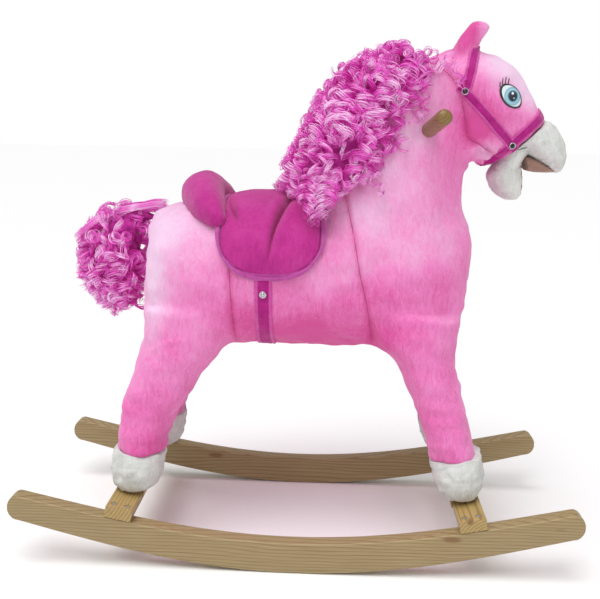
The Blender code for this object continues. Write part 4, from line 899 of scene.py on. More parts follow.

# %% [markdown]
# ## Curled hair
# The mane and tail are acrylic hair set in tight ringlets. Each ringlet is drawn as a helix whose middle
# line creeps down over a soft carrier shape, and a ringlet holds several thin strands that share the
# helix with small offsets, which is what makes a lock shine in bands. The strands are three-sided tubes,
# because there are hundreds. A lumpy under-mass stops the eye from seeing through; it is darker than the
# curls as painted shade of the hair deep in the mane.

# %% Hair materials
def hair(name, root, middle, shine):
    """Acrylic hair: colour from the strand's tone attribute, which holds its own tone and painted highlights, and a
    tight highlight along the strand.
    Light passes through the thin fibres, so a lock's shaded side stays pink: a weak glow of the same
    colour stands in for that."""
    made, tree, shader = new_material(name, Roughness=0.32, Specular_IOR_Level=0.55, IOR=1.55, Sheen_Weight=0.2,
                                      Emission_Strength=0.13)
    tone_value = add_node(tree, "ShaderNodeAttribute", attribute_name="tone").outputs["Fac"]
    colour = add_node(tree, "ShaderNodeValToRGB", {"Fac": tone_value}, stops=[
        (0.0, dye(root)), (0.45, dye(middle)), (1.0, dye(shine))]).outputs["Color"]
    tree.links.new(colour, shader.inputs["Base Color"])
    tree.links.new(colour, shader.inputs["Emission Color"])
    return made


curl_hair = hair("acrylic_hair_curled", "#D816AC", "#F05CD2", "#FFDCFA")
# Darker than the curls: painted shade of the hair deep in the mane.
under_hair = plush("acrylic_hair_under_mass", "#BC2496", "#DC4CBA", "#F28CDC", 9, 1.0, 0.4, 0.2)
MANE = (
    ((-0.018, 0.485), (0.052, 0.487), 0.048, 0), ((-0.004, 0.526), (0.088, 0.502), 0.074, 0),
    ((0.026, 0.585), (0.118, 0.540), 0.076, 0), ((0.052, 0.624), (0.128, 0.582), 0.070, 0),
    ((0.088, 0.650), (0.146, 0.612), 0.062, 0), ((0.128, 0.662), (0.166, 0.644), 0.050, 0),
)
TAIL_HAIR = (
    ((-0.226, 0.455), (-0.197, 0.438), 0.012, 0), ((-0.253, 0.455), (-0.214, 0.435), 0.020, 0),
    ((-0.273, 0.434), (-0.221, 0.415), 0.030, 0), ((-0.289, 0.406), (-0.225, 0.390), 0.036, 0),
    ((-0.291, 0.378), (-0.226, 0.362), 0.037, 0), ((-0.281, 0.350), (-0.228, 0.336), 0.031, 0),
    ((-0.258, 0.325), (-0.232, 0.320), 0.016, 0),
)


def on_carrier(stations, u, v):
    """Points of the carrier loft at u (0 to 1 along its stations) and v (angle round it), by blending rings."""
    flat = smooth_rows([[*a, *b, half, middle] for a, b, half, middle in stations], 12)
    place = np.clip(u, 0, 1) * (len(flat) - 1.001)
    low = place.astype(int)
    share = (place - low)[..., None]
    row = flat[low] * (1 - share) + flat[low + 1] * share
    middle, run = (row[..., 0:2] + row[..., 2:4]) / 2, (row[..., 0:2] - row[..., 2:4]) / 2
    up, across = soft_corner(v)
    xz = middle + run * up[..., None]
    return np.stack([xz[..., 0], row[..., 4] * across, xz[..., 1]], axis=-1)


def middle_lines(stations, u, v, pull, steps, reach):
    """Walks many lines over the carrier at once: each step moves along pull, held to the surface."""
    lines, outs = [], []
    for _ in range(steps):
        here = on_carrier(stations, u, v)
        along_u = (on_carrier(stations, u + 0.01, v) - on_carrier(stations, u - 0.01, v)) / 0.02
        along_v = (on_carrier(stations, u, v + 0.02) - on_carrier(stations, u, v - 0.02)) / 0.04
        centre = on_carrier(stations, u, v * 0) / 2 + on_carrier(stations, u, v * 0 + np.pi) / 2
        out = unit(np.cross(along_u, along_v))
        out = out * np.sign(np.einsum("...i,...i->...", out, here - centre))[..., None]
        lines.append(here)
        outs.append(out)
        uu, uv, vv = ((a * b).sum(-1) for a, b in ((along_u, along_u), (along_u, along_v), (along_v, along_v)))
        pu, pv = (along_u * pull).sum(-1), (along_v * pull).sum(-1)
        scale = np.maximum(uu * vv - uv ** 2, 1e-12)
        step = reach / steps
        u = np.clip(u + step * (pu * vv - pv * uv) / scale, 0.0, 1.0)
        v = v + step * (pv * uu - pu * uv) / scale
    return np.stack(lines, 1), np.stack(outs, 1)


def ringlets(lines, outs, draw, coil, pitch, strands, thick, lift=0.012):
    """Strands of many ringlets: line + coil * (cos, sin) round it, every strand a little off its fellows.
    The line lifts off the surface towards its end, and a strand is painted paler where it turns outward, a painted
    highlight."""
    count, steps = lines.shape[:2]
    rise = draw.uniform(-0.1, 1.2, (count, 1, 1)) * lift * np.linspace(0, 1, steps)[None, :, None] ** 2
    lines = lines + outs * rise
    along = unit(np.gradient(lines, axis=1))
    side = unit(np.cross(along, outs))
    up = np.cross(side, along)
    length = np.cumsum(np.linalg.norm(np.diff(lines, axis=1, prepend=lines[:, :1]), axis=-1), axis=1)
    phase = draw.uniform(0, 2 * np.pi, (count, 1, 1)) + draw.normal(0, 0.38, (count, strands, 1))
    hand = draw.choice([-1, 1], (count, 1, 1))
    width = coil * draw.uniform(0.65, 1.30, (count, 1, 1)) * draw.uniform(0.80, 1.10, (count, strands, 1))
    own_pitch = pitch * draw.uniform(0.85, 1.2, (count, 1, 1)) * draw.normal(1, 0.05, (count, strands, 1))
    turn = phase + hand * 2 * np.pi * length[:, None] / own_pitch
    spread = 0.6 + 0.4 * np.minimum(np.linspace(0, 3, steps), 1)
    width = width * spread * (1 - 0.35 * np.linspace(0, 1, steps) ** 3)
    offset = draw.normal(0, 0.0013, (count, strands, 1, 3))
    middle = lines[:, None] + outs[:, None] * (coil * 0.9) + offset
    ring = np.cos(turn)[..., None] * up[:, None] + np.sin(turn)[..., None] * side[:, None]
    points = middle + width[..., None] * ring
    points = points.reshape(-1, steps, 3)
    start = draw.uniform(-0.15, 0.52, (count, 1, 1)) + draw.normal(0, 0.16, (count, strands, 1))
    # Painted highlight where the coil turns outward; strands also get a little paler towards the tip.
    tone = start + 0.45 * np.clip(np.cos(turn), 0, 1) ** 2 + 0.15 * np.linspace(0, 1, steps) ** 2
    return points, np.clip(tone, 0, 1).reshape(-1, steps), np.full(len(points), thick)


def wavy_locks(lines, outs, draw, width, wave, strands, thick):
    """Flat satin locks: strands side by side across width, swaying together by wave * sin along the lock."""
    count, steps = lines.shape[:2]
    along = unit(np.gradient(lines, axis=1))
    side = unit(np.cross(along, outs))
    share = np.linspace(0, 1, steps)[None, None, :, None]
    place = (np.linspace(-0.5, 0.5, strands) * width)[None, :, None, None] * (1 - 0.75 * share ** 2)
    sway = wave * np.sin(draw.uniform(8, 12, (count, 1, 1, 1)) * share + draw.uniform(0, 6, (count, 1, 1, 1)))
    crown = 0.006 * (1 - (2 * np.linspace(-0.5, 0.5, strands)) ** 2)[None, :, None, None]
    points = lines[:, None] + side[:, None] * (place + sway) + outs[:, None] * (0.004 + crown + sway * 0.6)
    points = points + draw.normal(0, 0.0006, (count, strands, 1, 3))
    tone = draw.uniform(0.1, 0.6, (count, 1, 1)) + draw.normal(0, 0.12, (count, strands, 1))
    # Painted highlight: pale bands repeat along the lock where its shine would fall.
    tone = np.clip(tone + 0.35 * np.cos(9 * share[..., 0]) ** 4, 0, 1)
    return points.reshape(-1, steps, 3), tone.reshape(-1, steps), np.full(count * strands, thick)


def strand_mesh(name, points, tone, thick, body, slot, replaced=()):
    """Many hair strands as one piece of thin tubes, with the tone of each point for the material."""
    made = piece(name, *thin_tubes(points, thick), curl_hair, body, slot, replaced)
    mark(made.data, "tone", np.repeat(tone.ravel(), 3))
    return made


# %% Mane and tail
QUICK_SHARE = 1.0
RINGLET_PITCH, RINGLET_STRANDS, STRAND_RADIUS = 0.020, 12, 0.00056
RINGLET_STEPS = 40
LOCK_WIDTH, LOCK_STRAND_RADIUS = 0.018, 0.00050


def spread_starts(draw, count, u_range, v_range):
    """Seeded starting places on a carrier, the same share on both sides."""
    count = int(count * QUICK_SHARE)
    u = draw.uniform(*u_range, count)
    v = draw.uniform(*v_range, count) * draw.choice([-1, 1], count)
    pull = unit(np.stack([draw.normal(0, 0.5, count), draw.normal(0, 0.5, count), np.full(count, -1.0)], 1))
    return u, v, pull


def curl_batch(name, carrier, seed, count, u_range, v_range, reach, coil, body):
    """One batch of ringlets over a carrier: reach is a ringlet's length, coil the radius of its helix."""
    draw = np.random.default_rng(seed)
    lines, outs = middle_lines(carrier, *spread_starts(draw, count, u_range, v_range), RINGLET_STEPS, reach)
    strand_lines = ringlets(lines, outs, draw, coil, RINGLET_PITCH, RINGLET_STRANDS, STRAND_RADIUS)
    return strand_mesh(name, *strand_lines, body, "magenta_hair")


def satin_batch(name, carrier, seed, count, u_range, v_range, reach, body):
    """One batch of smooth waved locks over a carrier."""
    draw = np.random.default_rng(seed)
    lines, outs = middle_lines(carrier, *spread_starts(draw, count, u_range, v_range), 26, reach)
    strand_lines = wavy_locks(lines, outs, draw, LOCK_WIDTH, 0.003, 26, LOCK_STRAND_RADIUS)
    return strand_mesh(name, *strand_lines, body, "magenta_hair")


under = tufted(domed(rings(MANE, 10, 72, grow=-0.006), 0.006), 0.014, 0.0026, 41)
piece("mane_under_mass", *closed_rings(under), under_hair, "body", "magenta_hair", ["mane"])
curl_batch("mane_curls_crest", MANE, 51, 58, (0.0, 1.0), (0.0, 0.8), 0.060, 0.0078, "body")
curl_batch("mane_curls_upper", MANE, 52, 58, (0.05, 0.98), (0.5, 1.3), 0.060, 0.0085, "body")
curl_batch("mane_curls_middle", MANE, 55, 58, (0.0, 0.98), (1.0, 1.8), 0.050, 0.0080, "body")
curl_batch("mane_curls_lower", MANE, 53, 58, (0.0, 0.95), (1.6, 2.6), 0.050, 0.0080, "body")
curl_batch("mane_curls_withers", MANE, 56, 28, (0.0, 0.18), (0.2, 2.9), 0.034, 0.0070, "body")
curl_batch("mane_curls_fill", MANE, 57, 28, (0.15, 0.60), (1.0, 2.2), 0.045, 0.0080, "body")
satin_batch("mane_satin_locks", MANE, 54, 22, (0.50, 0.99), (0.0, 1.0), 0.070, "body")

under = tufted(domed(rings(TAIL_HAIR, 10, 56, grow=-0.004), 0.004), 0.012, 0.0022, 42)
piece("tail_under_mass", *closed_rings(under), under_hair, "tail", "magenta_hair", ["tail_hair"])
curl_batch("tail_curls_upper", TAIL_HAIR, 61, 56, (0.12, 0.65), (0.0, 2.2), 0.055, 0.0072, "tail")
curl_batch("tail_curls_lower", TAIL_HAIR, 62, 56, (0.40, 0.92), (0.0, 2.3), 0.045, 0.0075, "tail")

# %% Tail root, hanging locks and loose wisps
def arc(start, bend, end, t):
    """Quadratic curve from start to end, pulled towards bend: (1-t)^2 a + 2t(1-t) b + t^2 c."""
    return (1 - t) ** 2 * start + 2 * t * (1 - t) * bend + t ** 2 * end


draw = np.random.default_rng(71)
share = np.linspace(0, 1, 30)[None, :, None]
root_count = 12
start = np.stack([np.full(root_count, -0.184), draw.uniform(-0.010, 0.010, root_count),
                  draw.uniform(0.444, 0.4555, root_count)], 1)[:, None]
bend = np.stack([draw.uniform(-0.262, -0.238, root_count), draw.uniform(-0.026, 0.026, root_count),
                 draw.uniform(0.452, 0.464, root_count)], 1)[:, None]
end = np.stack([draw.uniform(-0.300, -0.262, root_count), draw.uniform(-0.042, 0.042, root_count),
                draw.uniform(0.375, 0.415, root_count)], 1)[:, None]
lines = arc(start, bend, end, share)
outs = np.broadcast_to(unit(np.array([-0.35, 0, 1.0])), lines.shape)
strand_lines = wavy_locks(lines, outs, draw, LOCK_WIDTH, 0.0018, 32, LOCK_STRAND_RADIUS)
strand_mesh("tail_root_locks", *strand_lines, "tail", "magenta_hair")


def loose_curls(name, seed, spots, coil, strands, lift):
    """Hanging ringlets that start at spots (x, side, z, drop) and lie over whatever is below them."""
    draw = np.random.default_rng(seed)
    share = np.linspace(0, 1, 36)
    spots = np.array(spots)
    x = spots[:, 0:1] + draw.normal(0, 0.006, (len(spots), 1)) * share
    z = spots[:, 2:3] - spots[:, 3:4] * share
    places = np.stack([x, 0.2 * spots[:, 1:2] * np.ones_like(x), z], -1)
    sideways = np.stack([np.zeros_like(x), -spots[:, 1:2] * np.ones_like(x), np.zeros_like(x)], -1)
    hits, outs = lay_on(places, sideways)
    outs = unit(outs + [0, 0, 0.2])
    strand_lines = ringlets(hits + outs * lift, outs, draw, coil, 0.017, strands, 0.00040, 0.004)
    return strand_mesh(name, *strand_lines, "body", "magenta_hair")


draw = np.random.default_rng(72)
lock_x = np.tile([0.002, 0.010, 0.017, 0.024, 0.031, 0.038, 0.014, 0.027], 2)
lock_side = np.repeat([-1.0, 1.0], 8)
low = np.tile([0.470, 0.452, 0.444, 0.443, 0.450, 0.466, 0.458, 0.456], 2)
start = np.stack([lock_x + 0.006, 0.045 * lock_side, np.full(16, 0.514)], 1)[:, None]
bend = np.stack([lock_x, 0.086 * lock_side, np.full(16, 0.500)], 1)[:, None]
end = np.stack([lock_x, 0.100 * lock_side, low], 1)[:, None]
share = np.linspace(0, 1, 40)[None, :, None]
lines = arc(start, bend, end, share)
outs = np.broadcast_to(unit(np.stack([0 * lock_side, lock_side, 0 * lock_side + 0.5], 1))[:, None], lines.shape)
strand_lines = ringlets(lines, outs, draw, 0.0068, 0.015, 14, 0.0005, 0.002)
strand_mesh("mane_hanging_locks", *strand_lines, "body", "magenta_hair")


def ring_curls(name, carrier, seed, count, u_range, v_range, body):
    """Open curls that stand off the carrier: a short coil round the outward line shows as a ring."""
    draw = np.random.default_rng(seed)
    u, v, _ = spread_starts(draw, count, u_range, v_range)
    down = np.zeros((len(u), 3)) + [0, 0, -1.0]
    (here,), (out,) = (a.transpose(1, 0, 2) for a in middle_lines(carrier, u, v, down, 1, 0.0))
    share = np.linspace(0, 1, 34)[None, :, None]
    lean = unit(out + draw.normal(0, 0.35, out.shape))
    lines = here[:, None] + out[:, None] * 0.006 + lean[:, None] * 0.013 * share
    guide = np.broadcast_to(unit(np.cross(lean, [0.3, 0.1, 1.0]))[:, None], lines.shape)
    points, tone, thick = ringlets(lines, guide, draw, 0.0066, 0.0068, 6, 0.0005, 0.0)
    return strand_mesh(name, points, np.clip(tone + 0.25, 0, 1), thick, body, "magenta_hair")


ring_curls("mane_ring_curls", MANE, 75, 70, (0.0, 0.98), (0.2, 2.3), "body")
ring_curls("tail_ring_curls", TAIL_HAIR, 76, 34, (0.25, 0.92), (0.0, 2.1), "tail")
draw = np.random.default_rng(73)
wisp_x = draw.uniform(0.085, 0.165, 26)
wisp_spots = [(x, side, 0.500 + (x - 0.085) * 1.5 + rise, 0.026) for x, side, rise in zip(
    wisp_x, np.tile([-1, 1], 13), draw.uniform(-0.008, 0.045, 26))]
wisp_spots += [(x, side, z, 0.018) for side in (-1, 1)
               for x, z in ((0.186, 0.652), (0.192, 0.640), (0.196, 0.628))]
loose_curls("mane_wisps", 74, wisp_spots, 0.0068, 4, 0.003)

# %% [markdown]
# ## Saddle
# The saddle is a quilted velour pad laid over the back, with a bound edge and a deep pleat down each
# flap where the cloth is gathered. It is a thin closed shell: an upper and a lower grid over the torso,
# joined round the border. The pad's thickness falls off into a groove of stitches, and the hem beyond it
# is a flat, lighter band.

# %% Shells laid over the body
def torso_at(x):
    """Top, bottom and half width of the torso at each x, from its smoothed stations."""
    flat = smooth_rows([[*a, *b, half, middle] for a, b, half, middle in TORSO], 12)
    return (np.interp(x, flat[:, 0], flat[:, k]) for k in (1, 3, 4))


def over_torso(x, turn, grow):
    """Points over the torso at x, at the angle turn round its section (0 is the top), grow outside it."""
    top, bottom, half = torso_at(x)
    up, across = soft_corner(turn)
    reach = (top - bottom) / 2
    return np.stack([x, across * (half + grow), (top + bottom) / 2 + up * (reach + grow)], axis=-1)


def shell(upper, lower):
    """A closed thin shell between two grids of points that share their border."""
    rows, columns = upper.shape[:2]
    count = rows * columns
    points = np.vstack([upper.reshape(-1, 3), lower.reshape(-1, 3)])
    top = grid_faces(rows, columns, False, False)
    bottom = grid_faces(rows, columns, False, False)[:, ::-1] + count
    i = np.arange(rows * columns).reshape(rows, columns)
    border = np.concatenate([i[0, :-1], i[:-1, -1], i[-1, :0:-1], i[:0:-1, 0]])
    after = np.roll(border, -1)
    rim = np.stack([border, border + count, after + count, after], 1)
    return points, [top, bottom, rim]


SADDLE_X = (-0.107, 0.035)
HEM = 0.0075
SADDLE_LIFT = 0.0028
rows, columns = 104, 180
middle_x, half_x = sum(SADDLE_X) / 2, (SADDLE_X[1] - SADDLE_X[0]) / 2
s = np.sin(np.linspace(-1, 1, rows) * np.pi / 2)[:, None]
t = np.linspace(-1, 1, columns)[None, :]
x = (middle_x + half_x * s) * np.ones_like(t)
edge_z = 0.376 + 0.072 * (1 - np.sqrt(np.clip(1 - np.abs(s) ** 2.6, 0, 1)))
top, bottom, half = torso_at(x)
share = (edge_z - (top + bottom) / 2) / ((top - bottom) / 2 + 0.010)
last = np.arccos(np.clip(np.sign(share) * np.abs(share) ** (SQUARENESS / 2), -1, 1))
turn = last * t
base = over_torso(x, turn, SADDLE_LIFT)
run = np.linalg.norm(np.diff(base, axis=1, prepend=base[:, :1]), axis=-1).cumsum(1)
to_flap = np.minimum(run, run[:, -1:] - run)
to_end = (half_x * (1 - np.abs(s))) * np.ones_like(t)
border_gap = 1 / (1 / np.maximum(to_end, 1e-5) ** 3 + 1 / np.maximum(to_flap, 1e-5) ** 3) ** (1 / 3)
flat = base.reshape(-1, 3)[:, [0, 2]]
pad = 0.0026 + 0.0068 * (1 - np.exp(-np.clip(border_gap - HEM, 0, None) / 0.022))
pad += 0.0016 * bell(border_gap - HEM / 2, HEM / 2.0) - 0.0020 * bell(border_gap - HEM, 0.0009)
pad *= np.clip(border_gap / 0.0012, 0, 1) ** 0.5
gap, along = to_line(flat, smooth_rows([(0.012, 0.492), (-0.011, 0.472), (-0.025, 0.451), (-0.033, 0.428),
                                        (-0.038, 0.400)], 6))
pleat_width = 0.0065 * (1 - 0.6 * along)
deep = np.clip(np.abs(base[..., 1]).ravel() / 0.05, 0, 1) * np.sin(np.pi * np.clip(along * 0.9 + 0.06, 0, 1))
pad = pad - (0.0080 * deep * (0.5 * bell(gap, pleat_width) + 0.5 * bell(gap, 0.0022))).reshape(pad.shape)
pleat_shade = (deep * bell(gap, 0.0024)).reshape(pad.shape)
pad = pad + (0.0036 * deep * bell(gap - 2.2 * pleat_width, pleat_width * 1.4)).reshape(pad.shape)
gap, along = to_line(flat, smooth_rows([(-0.099, 0.476), (-0.090, 0.462), (-0.076, 0.445)], 6))
deep = np.clip(np.abs(base[..., 1]).ravel() / 0.06, 0, 1) * np.sin(np.pi * np.clip(along * 0.9 + 0.05, 0, 1))
pad = pad - (0.0060 * deep * bell(gap, 0.0040)).reshape(pad.shape)
pleat_shade = pleat_shade + (0.7 * deep * bell(gap, 0.0022)).reshape(pad.shape)
pad = np.maximum(pad + 0.0004 * ripple(base.reshape(-1, 3), 0.028, 71).reshape(pad.shape), 0.0006)
upper = over_torso(x, turn, SADDLE_LIFT + pad)
lower = over_torso(x, turn, np.full_like(x, 0.0024))
points, faces = shell(upper, lower)
# Painted shade: the pleats and the groove inside the hem are darkened through the seam attribute.
crease = np.clip(0.8 * pleat_shade + 0.5 * bell(border_gap - HEM, 0.0010), 0, 1).ravel()
on_hem = (border_gap < HEM)[:-1, :-1].ravel().astype(int)
picks = np.concatenate([on_hem, np.ones(len(faces[1]) + len(faces[2]), int)])
saddle = piece("saddle_pad", points, faces, [velour, hem_velour], "body", "magenta_velour", ["saddle_cover"],
               picks=picks)
mark(saddle.data, "seam", np.concatenate([crease, 0 * crease]))
print("saddle arc over the back", round(float(run[rows // 2, -1]), 3), "m")


# %% [markdown]
# Stitches are what make a hem read as sewn: short thread capsules, evenly spaced, half sunk in the
# cloth. One small capsule is copied along a line, turned to follow it.

# %% Thread
thread, _, thread_shader = new_material("polyester_thread", Roughness=0.5, Sheen_Weight=0.3)
thread_shader.inputs["Base Color"].default_value = dye("#7E1460")


def along_line(line, spacing):
    """Evenly spaced places on a line of points, and the direction there."""
    gaps = np.linalg.norm(np.diff(line, axis=0), axis=1)
    run = np.concatenate([[0], gaps.cumsum()])
    wanted = np.arange(spacing / 2, run[-1], spacing)
    where = np.stack([np.interp(wanted, run, line[:, k]) for k in range(3)], 1)
    ahead = np.stack([np.interp(wanted + spacing / 4, run, line[:, k]) for k in range(3)], 1)
    behind = np.stack([np.interp(wanted - spacing / 4, run, line[:, k]) for k in range(3)], 1)
    return where, unit(ahead - behind)


def stitches(name, lines, length=0.0024, thick=0.00038, spacing=0.0036, material=thread, slot=None):
    """Capsules along the lines: 6-sided rings of radius thick * sin, carried over length * cos."""
    where, along = (np.vstack(group) for group in zip(*(along_line(line, spacing) for line in lines)))
    guide = np.where(np.abs(along[:, 2:3]) > 0.9, [1.0, 0, 0], [0, 0, 1.0])
    side = unit(np.cross(along, guide))
    up = np.cross(along, side)
    bend = np.radians([18, 50, 90, 130, 162])
    angle = np.radians(np.arange(6) * 60)
    ring = (side[:, None, None] * np.cos(angle)[None, None, :, None] + up[:, None, None] * np.sin(angle)[
        None, None, :, None]) * (thick * np.sin(bend))[None, :, None, None]
    ring = ring + along[:, None, None] * (-length / 2 * np.cos(bend))[None, :, None, None] + where[:, None, None]
    quads = grid_faces(5, 6)
    base = (np.arange(len(where)) * 30)[:, None, None]
    caps = np.array([[5, 4, 3, 2, 1, 0], [24, 25, 26, 27, 28, 29]])
    faces = [(quads[None] + base).reshape(-1, 4), (caps[None] + base).reshape(-1, 6)]
    return piece(name, ring.reshape(-1, 3), faces, material, "body", slot)


def contour(values, level, grid):
    """The closed line on a grid where a border distance has the level: each column's crossing, in order."""
    rows, columns = values.shape
    first = np.argmax(values > level, axis=0)
    last = rows - 1 - np.argmax(values[::-1] > level, axis=0)
    good = np.where(values.max(0) > level)[0]
    there = grid[first[good], good]
    back = grid[last[good], good][::-1]
    return np.vstack([there, back, there[:1]])


hem_line = contour(border_gap, HEM, over_torso(x, turn, 0.0030 + pad + 0.0002))
around_hem = np.arange(len(hem_line))
hem_line = relax(hem_line, np.stack([around_hem, np.roll(around_hem, -1)], 1), 4)
stitches("saddle_hem_stitches", [hem_line])
print("hem seam", len(hem_line), "points")

# %% [markdown]
# The cantle is a stuffed roll that stands behind the rider and thins out down both flanks. It is a tube
# carried along a curved line: full in the middle, drooping and narrow at the ends.

# %% Cantle roll
def roll(q):
    """Middle line and radius of the roll at q from -1 to 1."""
    a = np.abs(q)
    line = np.stack([-0.1335 + 0.034 * a ** 1.7, 0.086 * q, 0.4750 - 0.028 * a ** 1.8], -1)
    radius = 0.0280 * np.clip(1 - a ** 2.0, 0, 1) ** 0.6 + 0.002
    return line, radius


q = np.sin(np.linspace(-1, 1, 90) * np.pi / 2)
line, radius = roll(q)
along = unit(np.gradient(line, axis=0))
side = unit(np.cross(along, [0, 0, 1.0]))
up = np.cross(side, along)
angle = np.linspace(0, 2 * np.pi, 64, endpoint=False)
around = side[:, None] * (np.cos(angle) * 0.93)[:, None] + up[:, None] * np.sin(angle)[:, None]
cantle_rings = line[:, None] + around * radius[:, None, None]
cantle_rings = tufted(cantle_rings, 0.045, 0.0007, 72)
points, faces = closed_rings(cantle_rings)
cantle = piece("cantle_pad", points, faces, velour)


def puffed(obj, voxel, cap, frames=20):
    """Cloth under inner pressure makes a stuffed shape crease and swell like the real one: remesh, let it
    run, hold every point within cap of its start, and keep the result as a plain mesh."""
    skin = obj.modifiers.new("skin", "REMESH")
    skin.mode, skin.voxel_size = "VOXEL", voxel
    mesh = bpy.data.meshes.new_from_object(obj.evaluated_get(bpy.context.evaluated_depsgraph_get()))
    obj.modifiers.clear()
    material = obj.data.materials[0]
    obj.data = mesh
    start = read_mesh(mesh)[0]
    cloth = obj.modifiers.new("cloth", "CLOTH")
    cloth.settings.use_pressure = True
    cloth.settings.uniform_pressure_force = 4
    cloth.settings.effector_weights.gravity = 0
    cloth.settings.shrink_min = -0.06
    for frame_number in range(1, frames + 1):
        bpy.context.scene.frame_set(frame_number)
    done = bpy.data.meshes.new_from_object(obj.evaluated_get(bpy.context.evaluated_depsgraph_get()))
    moved = read_mesh(done)[0] - start
    obj.modifiers.clear()
    bpy.context.scene.frame_set(1)
    far = np.linalg.norm(moved, axis=1, keepdims=True)
    moved *= np.minimum(1, cap / np.maximum(far, 1e-9))
    obj.data = done
    write_points(done, start + moved)
    obj.data.materials.clear()
    obj.data.materials.append(material)
    obj.data.polygons.foreach_set("use_smooth", np.ones(len(obj.data.polygons), bool))
    smooth = obj.modifiers.new("smooth", "SUBSURF")
    smooth.levels = smooth.render_levels = 1
    return obj


puffed(cantle, 0.005, 0.005)
dress(cantle, "body", ["cantle_roll"])
print("cantle points", len(cantle.data.vertices))

# %% [markdown]
# ## Girth and bridle
# The straps are narrow velour tape with a sewn channel: soft, slightly wavy edges and two lines of
# stitches. A strap has to lie on the skin exactly, so its grid is dropped onto the skin by rays, then
# lifted by its thickness.

# %% Straps
tape = plush("pink_tape_edges", "#C63C93", "#D85AAB", "#E58AC4", 12, 0.7, 0.4, 0.3)
channel_tape = plush("pink_tape_sewn_channel", "#981068", "#B82086", "#D050A6", 12, 0.7, 0.4, 0.3)


def strap(name, centre, outward, width, thick, replaced, material=tape, slot="pink_webbing", wave=0.03, rim=0.35):
    """A strap along centre: at every place a row of rays across the width finds the skin; the upper face
    is lifted by thick, less towards both edges. Returns the two stitch lines."""
    along = unit(np.gradient(centre, axis=0))
    across = unit(np.cross(along, outward))
    columns = 21
    places = np.linspace(-1, 1, columns)
    run = np.linalg.norm(np.diff(centre, axis=0, prepend=centre[:1]), axis=1).cumsum()
    edge = 1 + wave * np.sin(2 * np.pi * run / 0.0085) + wave * 0.6 * np.sin(2 * np.pi * run / 0.019 + 1)
    offset = across[:, None] * (places[None, :] * edge[:, None] * width / 2)[..., None]
    rays = centre[:, None] + offset + outward[:, None] * 0.03
    hits, _ = lay_on(rays, np.broadcast_to(-outward[:, None], rays.shape))
    height = ((hits - centre[:, None]) * outward[:, None]).sum(-1)
    height = np.clip(height, -0.006, 0.006)
    ground = centre[:, None] + offset + outward[:, None] * height[..., None]
    body_profile = thick * (1 - (1 - rim) * np.abs(places) ** 6)
    body_profile = body_profile - thick * 0.35 * bell(np.abs(places) - 0.62, 0.10)
    upper = ground + outward[:, None] * (0.0005 + body_profile)[None, :, None]
    lower = ground + outward[:, None] * 0.0003
    points, faces = shell(upper, lower)
    channel = np.tile((np.abs(places[:-1] + 1 / (columns - 1)) < 0.60).astype(int), len(centre) - 1)
    picks = np.concatenate([channel, np.zeros(len(faces[1]) + len(faces[2]), int)])
    made = piece(name, points, faces, [material, channel_tape], "body", slot, replaced, picks=picks)
    return [upper[:, 4], upper[:, -5]]


def loop_round(line, turns):
    """Places round the head in the plane through a line of the XZ plane: rays at the angles turns, from
    the line's middle out to the head. Angle 0 points along the line's first end, 90 degrees to -Y."""
    first, second = (np.array([p[0], 0, p[1]]) for p in line)
    middle, up = (first + second) / 2, unit(first - second)
    spoke = np.cos(turns)[:, None] * up - np.sin(turns)[:, None] * np.array([0, 1.0, 0])
    hits, _ = lay_on(middle + spoke * 0.001, spoke, head_tree)
    hits = relax_line(hits, 3)
    return hits, spoke


def relax_line(line, rounds):
    """Smooths an open line of points, keeping its ends."""
    for _ in range(rounds):
        line = np.vstack([line[:1], (line[:-2] + 2 * line[1:-1] + line[2:]) / 4, line[-1:]])
    return line


NOSEBAND_LINE = ((0.3085, 0.5880), (0.2500, 0.5310))
CROWN_LINE = ((0.2170, 0.6680), (0.2010, 0.6100))
RIVET_HIGH, RIVET_LOW = (0.2015, 0.6120), (0.2670, 0.5475)
BAND_WIDTH, GIRTH_WIDTH = 0.0135, 0.0225
GIRTH_X, GIRTH_LOW = -0.043, 1.50  # where the girth crosses the belly, and the angle where it starts
STRAP_TOP = 0.0032  # from the skin to the top of a strap
thread_lines = []
centre, outward = loop_round(NOSEBAND_LINE, np.linspace(-math.pi * 0.998, math.pi * 0.998, 150))
thread_lines += strap("noseband_tape", centre, outward, BAND_WIDTH, 0.0020, ["noseband"])
centre, outward = loop_round(CROWN_LINE, np.linspace(-2.02, 2.02, 120))
thread_lines += strap("crown_tape", centre, outward, BAND_WIDTH, 0.0020, ["crown_strap"])
rivets = []
for side_name, side in SIDES.items():
    share = np.linspace(-0.09, 1.08, 80)[:, None]
    flat = np.array(RIVET_HIGH) * (1 - share) + np.array(RIVET_LOW) * share
    centre, outward = from_side(*flat.T, side)
    centre = relax_line(centre, 8)
    outward = unit(relax_line(outward, 12))
    centre = centre + outward * 0.0011
    thread_lines += strap(f"cheek_tape_{side_name}", centre, outward, BAND_WIDTH, 0.0021,
                          [f"cheek_strap_{side_name}"])
    for label, at in (("high", RIVET_HIGH), ("low", RIVET_LOW)):
        hit, normal = from_side(*at, side)
        rivets.append((f"bridle_rivet_{label}_{side_name}", hit + normal * STRAP_TOP, normal))
turns = GIRTH_LOW + (2 * np.pi - 2 * GIRTH_LOW) * np.linspace(0.0, 1.0, 200)
centre = over_torso(np.full(200, GIRTH_X), turns, np.zeros(200))
outward = unit(over_torso(np.full(200, GIRTH_X), turns, np.full(200, 0.01)) - centre)
thread_lines += strap("girth_tape", centre, outward, GIRTH_WIDTH, 0.0026, ["girth_strap"], wave=0.02)
stitches("strap_stitches", thread_lines, 0.0022, 0.00038, 0.0031)

